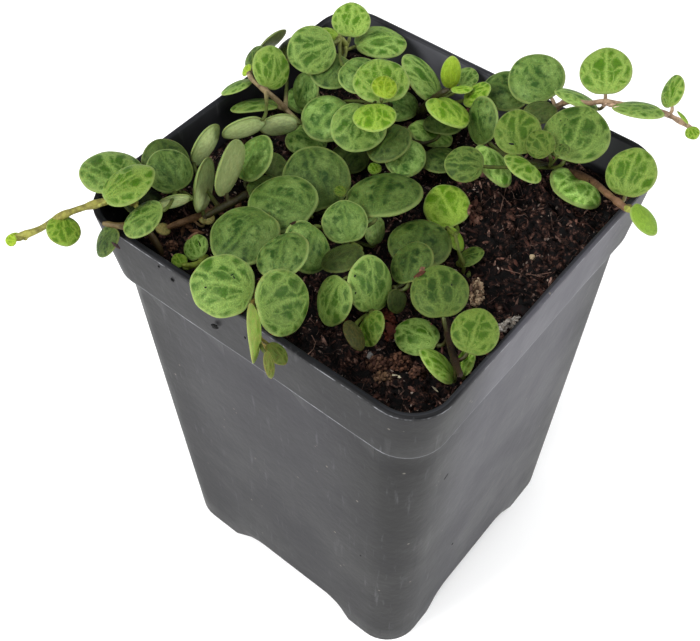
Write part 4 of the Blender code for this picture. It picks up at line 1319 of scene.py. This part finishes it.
# %% The stem's material
stem_finish = f = Finish("fleshy_stem", Specular_IOR_Level=0.25)
streaks = f.noise(f.place, 1400.0, 3.0, 0.6)
bark = f.blend(f.ease(streaks, 0.35, 0.7, 0.0, 0.5), f.stored("tint", "Color"), (72, 52, 34))
spots = f.ease(f.noise(f.place, 620.0, 4.0, 0.65), 0.5, 0.66, 0.0, 0.55)
f.wear("Base Color", f.stain(spots, bark, (0.42, 0.40, 0.36, 1)))
f.wear("Roughness", f.ease(streaks, 0.3, 0.7, 0.45, 0.62))
f.bump(streaks + spots, 0.00014, 0.7)

# %% Joining each leafy stem
for name, wood, green in leafy_stems:
    leaf_finish.put_on(*green)
    stem_finish.put_on(*wood)
    leafy = join_all(green + wood, "leafy_stem_" + name)
    take_up(leafy)
    bpy.ops.object.shade_smooth()
    finish_piece(leafy, "foliage", "stem_" + name)

# %% [markdown]
# Pot, soil and litter finishes
#
# The pot is dark grey plastic with a satin skin. Light and shade are painted into its colour. Painted shade
# makes it nearly black in its corners, darker on its left side, and darker still on the band of that side and
# on the rim's top. Painted light makes it palest on the flat of the walls and paler on the right and far
# sides and on the right side's band, and a painted reflection pales the far sides' inner wall. Thin painted
# highlights run, broken, along the rim's and the band's edges, and the colour darkens towards the bottom.
# Handling leaves faint scuffs and fine scratches, and a little dust lies on it. The soil is almost black
# where damp, with brown where the crumbs stand up and have dried. Litter and bits take their own stored
# tints, darkened in their grain and hollows.

# %% Pot plastic
WALL_FROM, WALL_FULL = 24 * MM, 28 * MM
f = Finish("dark_satin_plastic", Specular_IOR_Level=0.12)
scuffs = f.ease(f.noise(f.place * (1.0, 1.0, 0.12), 900.0, 4.0, 0.6), 0.58, 0.8)
cloudy = f.noise(f.place, 60.0, 4.0, 0.6)
wide, deep, height = f.parts(f.place - tuple(POT_AXIS * MM))
# Painted light and shade: the walls are darker towards their corners and on the left side, and paler on the
# right and far sides. The band of the left side is painted darker still and the band of the right side paler.
# The colour also grows darker towards the bottom, and a cloudy noise varies it a little.
flat_wall = f.ease(smaller(abs(wide), abs(deep)), 10 * MM, 27 * MM, 1.0, 0.0)
right_wall = f.ease(wide, WALL_FROM, WALL_FULL)
far_wall = larger(right_wall, f.ease(deep, WALL_FROM, WALL_FULL))
on_band = f.ease(height, (BAND_LOW - 1.5) * MM, (BAND_LOW + 0.3) * MM)
left_band = on_band * f.ease(deep, -WALL_FULL, -WALL_FROM, 1.0, 0.0)
pot_painted_light_and_mottle = flat_wall * f.ease(far_wall, 0.0, 1.0, 0.34, 1.0) * f.ease(height, 10 * MM, 85 * MM, 0.45, 1.05)
pot_painted_light_and_mottle = pot_painted_light_and_mottle * f.ease(left_band, 0.0, 1.0, 1.0, 0.22) + f.ease(cloudy, 0.3, 0.7, -0.08, 0.08)
pot_painted_light_and_mottle = pot_painted_light_and_mottle * f.ease(on_band * right_wall, 0.0, 1.0, 0.76, 1.0)
body = f.blend(pot_painted_light_and_mottle, (22, 22, 27), (93, 92, 99))

# The rim's outline tells the outer skin from the inner wall. The inner wall of the far sides is painted
# paler, a painted reflection of the bright surround.
rim_core = (RIM_HALF - CORNER_RADIUS) * MM
past_core = worked("LENGTH", larger(abs(f.joined(wide, deep)) - (rim_core, rim_core, 0), (0, 0, 0)))
taper = (POT_HEIGHT * MM - height) * ((RIM_HALF - BAND_HALF) / BAND_TALL)
outer_skin = f.ease(past_core + taper, (CORNER_RADIUS - 0.7) * MM, (CORNER_RADIUS - 0.45) * MM)
inner_wall = larger(f.ease(height, SOIL_TOP * MM, (SOIL_TOP + 1) * MM) - outer_skin, 0.0)
body = f.blend(inner_wall * far_wall * 0.5, body, (122, 123, 128))
# The rim's top is painted darker, a painted shade, wholly on its inner side and a little on the outer skin.
painted_rim_shade = f.ease(height, (POT_HEIGHT - 0.5) * MM, (POT_HEIGHT - 0.2) * MM, 0.0, 0.85)
body = f.blend(painted_rim_shade * f.ease(outer_skin, 0.0, 1.0, 1.0, 0.2), body, (44, 45, 48))
highlight_breaks = f.noise(f.place, 300.0, 4.0, 0.7)


def painted_highlight_line(level, where, least):
    """A thin painted highlight round the pot at one height, broken in places."""
    off = abs(height - level * MM)
    return f.ease(off, 0.05 * MM, 0.17 * MM, 1.0, 0.0) * where * f.ease(highlight_breaks, 0.46, 0.64, least, 0.7)


# Painted highlights: thin pale lines along the rim's outer edge and the band's lower edge, broken in places.
edge_highlights = larger(painted_highlight_line(POT_HEIGHT - 0.42, outer_skin, 0.0), painted_highlight_line(BAND_LOW + 0.15, 1.0, 0.3))
dust = f.ease(f.cells(f.place, 420.0), 0.06, 0.12, 1.0, 0.0) * f.ease(f.noise(f.place, 150.0), 0.55, 0.62)
for share, mark in ((scuffs * 0.35, (120, 120, 124)), (edge_highlights, (170, 172, 178)), (dust * 0.6, (150, 142, 132))):
    body = f.blend(share, body, mark)
f.wear("Base Color", body)
f.wear("Roughness", f.ease(cloudy, 0.3, 0.7, 0.38, 0.5))
f.bump(f.noise(f.place, 700.0, 3.0) + cloudy * 2.0, 0.00008, 0.5)
f.put_on(pot)

# %% Soil and litter
f = Finish("damp_peat", Specular_IOR_Level=0.12)
crumbly = f.noise(f.place, 900.0, 5.0, 0.65)
earth = f.ramp(crumbly, (0.4, (14, 11, 11)), (0.52, (40, 28, 26)), (0.62, (92, 66, 58)),
               (0.7, (170, 136, 120)))
earth = f.blend(f.ease(f.noise(f.place, 160.0, 3.0), 0.4, 0.65, 0.0, 0.6), earth, (20, 15, 15))
f.wear("Base Color", earth)
f.wear("Roughness", f.ease(crumbly, 0.3, 0.7, 0.95, 0.7))
f.bump(crumbly, 0.0005, 0.9)
f.put_on(soil)


def loose_finish(name, dirt, hollow_shade):
    """Crumbly stuff in its own stored tint: dirt darkens its grain, hollow_shade whole patches of it."""
    f = Finish(name, Specular_IOR_Level=0.15)
    ragged = f.noise(f.place, 1500.0, 4.0, 0.7)
    bits = f.blend(f.ease(ragged, 0.47, 0.58, 0.0, dirt), f.stored("tint", "Color"), (20, 15, 14))
    hollows = f.ease(f.noise(f.place, 230.0, 2.0), 0.44, 0.60, hollow_shade, 0.0)
    f.wear("Base Color", f.stain(hollows, bits, (0.25, 0.24, 0.25, 1)))
    f.wear("Roughness", f.ease(ragged, 0.3, 0.7, 0.9, 0.65))
    f.bump(ragged, 0.00025, 0.8)
    return f


loose_finish("bark_and_fibre", 0.75, 0.85).put_on(litter, fibres)

# %% [markdown]
# Single bits at their own spots
#
# A few things lie at one spot only: a white grain of perlite, a beige clod, bark chips, crumbs and dark
# specks on leaves, dirt on the pot. Each is listed with its spot in the picture. A sight line through
# that spot finds the surface that is seen there, and the bit is laid on it, turned as in the picture.

# %% Placing the single bits
finished_points, finished_faces = [], []
for piece in bpy.context.scene.objects:
    if piece.type == "MESH" and piece.name.startswith(("nursery", "potting", "leafy")):
        first = len(finished_points)
        finished_points += [point.co.copy() for point in piece.data.vertices]
        finished_faces += [[first + i for i in face.vertices] for face in piece.data.polygons]
finished = BVHTree.FromPolygons(finished_points, finished_faces)


def seen_spot(px, py):
    """The place, in millimetres round the pot's axis, and the way out of the surface seen at a spot."""
    place, normal = finished.ray_cast(*ray_through(px, py))[:2]
    return np.array(place) / MM - POT_AXIS, np.array(normal)


RED_BARK, BROWN, CREAM = (112, 62, 50), (92, 66, 56), (222, 212, 180)
WHITE, SPECK, SCAR, PAPER = (212, 206, 196), (26, 22, 18), (62, 46, 34), (214, 182, 154)
# Across and down in the picture, long, wide and tall in millimetres, turn on the picture's dial, tint.
BITS = [
    (472, 202, 1.6, 0.9, 0.6, 30, (122, 86, 74)), (475, 210, 1.8, 0.8, 0.6, 80, (146, 112, 96)),
    (470, 216, 1.5, 0.9, 0.7, 140, (104, 70, 60)), (477, 219, 1.3, 0.7, 0.5, 10, (134, 100, 86)),
    (347, 319, 2.4, 1.0, 0.5, 165, (84, 58, 50)), (530, 256, 1.0, 0.9, 0.7, 0, (196, 176, 142)),
    (627, 203, 1.6, 1.2, 0.8, 130, (170, 176, 84)), (467, 273, 1.3, 0.7, 0.6, 20, (120, 136, 70)),
    (369, 356, 1.1, 0.9, 0.6, 30, (150, 148, 146)), (397, 378, 1.7, 0.45, 0.4, -40, CREAM),
    (437, 388, 1.2, 0.25, 0.25, -50, CREAM), (388, 318, 3.2, 1.9, 0.8, 10, (132, 72, 58)),
    (391, 334, 3.4, 1.6, 0.8, -15, (104, 60, 50)), (384, 312, 2.2, 1.4, 0.7, 60, (120, 66, 54)),
    (418, 273, 1.9, 1.3, 0.6, 50, (98, 62, 50)), (447, 474, 1.3, 0.22, 0.1, 25, SPECK),
    (455, 541, 0.5, 0.4, 0.12, 0, SPECK), (366, 554, 0.35, 0.3, 0.1, 0, SPECK),
    (421, 268, 1.0, 0.8, 0.5, 20, (138, 102, 82)), (231, 277, 0.7, 0.22, 0.16, 60, SPECK),
    (233, 279, 0.6, 0.2, 0.16, 150, SPECK), (205, 290, 0.45, 0.3, 0.12, 80, SPECK),
    (354, 276, 0.5, 0.35, 0.12, 40, SPECK), (355, 293, 0.4, 0.3, 0.12, 10, SPECK),
    (391, 285, 0.4, 0.25, 0.12, 60, SPECK), (451, 283, 0.4, 0.3, 0.12, 0, SPECK),
    (587, 177, 0.5, 0.35, 0.12, 20, SPECK), (557, 117, 0.3, 0.25, 0.1, 0, SPECK),
    (561, 121, 0.35, 0.25, 0.1, 70, SPECK), (564, 116, 0.25, 0.2, 0.1, 0, SPECK),
    (508, 141, 0.9, 0.35, 0.12, 95, SPECK), (291, 224, 1.1, 1.0, 0.14, 0, SCAR),
    (198, 246, 1.1, 0.22, 0.12, 150, SPECK), (217, 327, 1.5, 1.0, 0.5, 60, (34, 30, 32)),
    (172, 283, 0.7, 0.5, 0.3, 0, (30, 28, 30)), (247, 338, 0.5, 0.35, 0.2, 30, (36, 34, 36)),
    (158, 270, 0.4, 0.3, 0.2, 0, (34, 32, 34)), (115, 250, 1.7, 0.5, 0.3, 130, (78, 62, 62)),
    (607, 100, 1.5, 0.6, 0.5, 75, PAPER), (601, 100, 1.0, 0.6, 0.4, 20, PAPER),
    (612, 102, 1.0, 0.4, 0.4, 110, (236, 214, 190)), (663, 109, 1.2, 0.5, 0.4, 80, PAPER),
    (186, 231, 2.6, 0.9, 0.6, 75, (158, 118, 90)), (196, 234, 2.4, 0.8, 0.6, 100, (138, 100, 76)),
    (191, 238, 2.0, 0.7, 0.5, 50, (166, 128, 100)), (180, 236, 1.8, 0.8, 0.5, 20, (122, 90, 68)),
]
# Heaps of crumbs: the middle and the reach across and down in the picture, how many crumbs, how tall
# the heap is in millimetres, and the tints that its crumbs are drawn from.
CLODS = [
    (476, 291, 7, 14, 210, 1.7, ((226, 200, 166), (208, 178, 144), (170, 138, 112), (110, 88, 70))),
    (473, 211, 7, 12, 110, 0.9, ((130, 92, 78), (100, 70, 60), (150, 116, 98))),
    (502, 326, 5, 4, 45, 0.9, (WHITE, (200, 192, 180), (160, 150, 138))),
    (509, 322, 5, 4, 45, 1.0, (WHITE, (200, 192, 180), (168, 158, 146))),
    (516, 318, 5, 3, 36, 0.8, (WHITE, (206, 198, 188), (160, 150, 138))),
    (378, 364, 12, 8, 150, 1.6, (BROWN, (84, 60, 52), (128, 96, 78))),
    (400, 362, 12, 9, 170, 1.8, (BROWN, (126, 90, 72), (80, 57, 50))),
    (419, 373, 9, 6, 90, 1.2, (BROWN, (136, 98, 80), (88, 64, 55))),
    (384, 377, 9, 5, 80, 0.8, ((130, 102, 78), (94, 70, 56), (150, 118, 96))),
    (389, 325, 7, 15, 110, 0.9, (RED_BARK, (134, 76, 60), (88, 54, 46))),
    (171, 250, 6, 5, 60, 0.9, ((156, 116, 94), (112, 82, 68), BROWN)),
]
placed = []
for middle_x, middle_y, reach_x, reach_y, count, tall, shades in CLODS:
    for _ in range(count):
        turn, out_by = draw.uniform(0, 2 * math.pi), math.sqrt(draw.uniform(0, 1))
        px = middle_x + reach_x * out_by * math.cos(turn)
        py = middle_y + reach_y * out_by * math.sin(turn)
        place = seen_spot(px, py)[0] + (0, 0, tall * (1 - out_by**2) * draw.uniform(0.2, 1.0))
        if place[2] > SOIL_TOP + 4:
            continue
        sizes = np.array([1.0, draw.uniform(0.5, 0.9), draw.uniform(0.4, 0.8)]) * draw.uniform(0.2, 0.45)
        tint = shades[draw.integers(len(shades))]
        placed.append((draw.integers(3), turned_axes(draw, 0.8) * sizes[:, None], place, colour(*tint)))
for number, (px, py, long, wide, tall, clock, tint) in enumerate(BITS):
    place, out = seen_spot(px, py)
    ahead = dial(np.array(ACROSS_PICTURE), np.array(UP_IN_PICTURE), clock)
    ahead = unit(ahead - out * (ahead @ out))
    axes = np.array([ahead * long, np.cross(out, ahead) * wide, out * tall]) / 2
    raised = tall * 0.25 + (0.3 if place[2] < SOIL_TOP + 2.5 else 0.0)
    placed.append((3 + number % 3, axes, place + out * raised, colour(*tint)))
single_bits = copies_joined(lumps, placed, "single_bits")
finish_piece(single_bits, "soil")

long_fibres = []
for spots, thick in ((((504, 269), (520, 273), (535, 274), (550, 271)), 0.07),
                     (((504, 184), (502, 193), (500, 202), (498, 211)), 0.06),
                     (((312, 338), (316, 345), (314, 352), (309, 357)), 0.07)):
    line = [seen_spot(*spot)[0] + (0, 0, 0.5) for spot in spots]
    long_fibres.append((line, [thick] * len(line)))
threads = tubes("long_fibres", long_fibres, 0)
keep_numbers(threads, "tint", "FLOAT_COLOR", [colour(150, 118, 104)] * len(threads.data.vertices))
loose_finish("picked_bits", 0.4, 0.0).put_on(single_bits, threads)
finish_piece(threads, "soil")
for lump in lumps:
    bpy.data.objects.remove(lump)
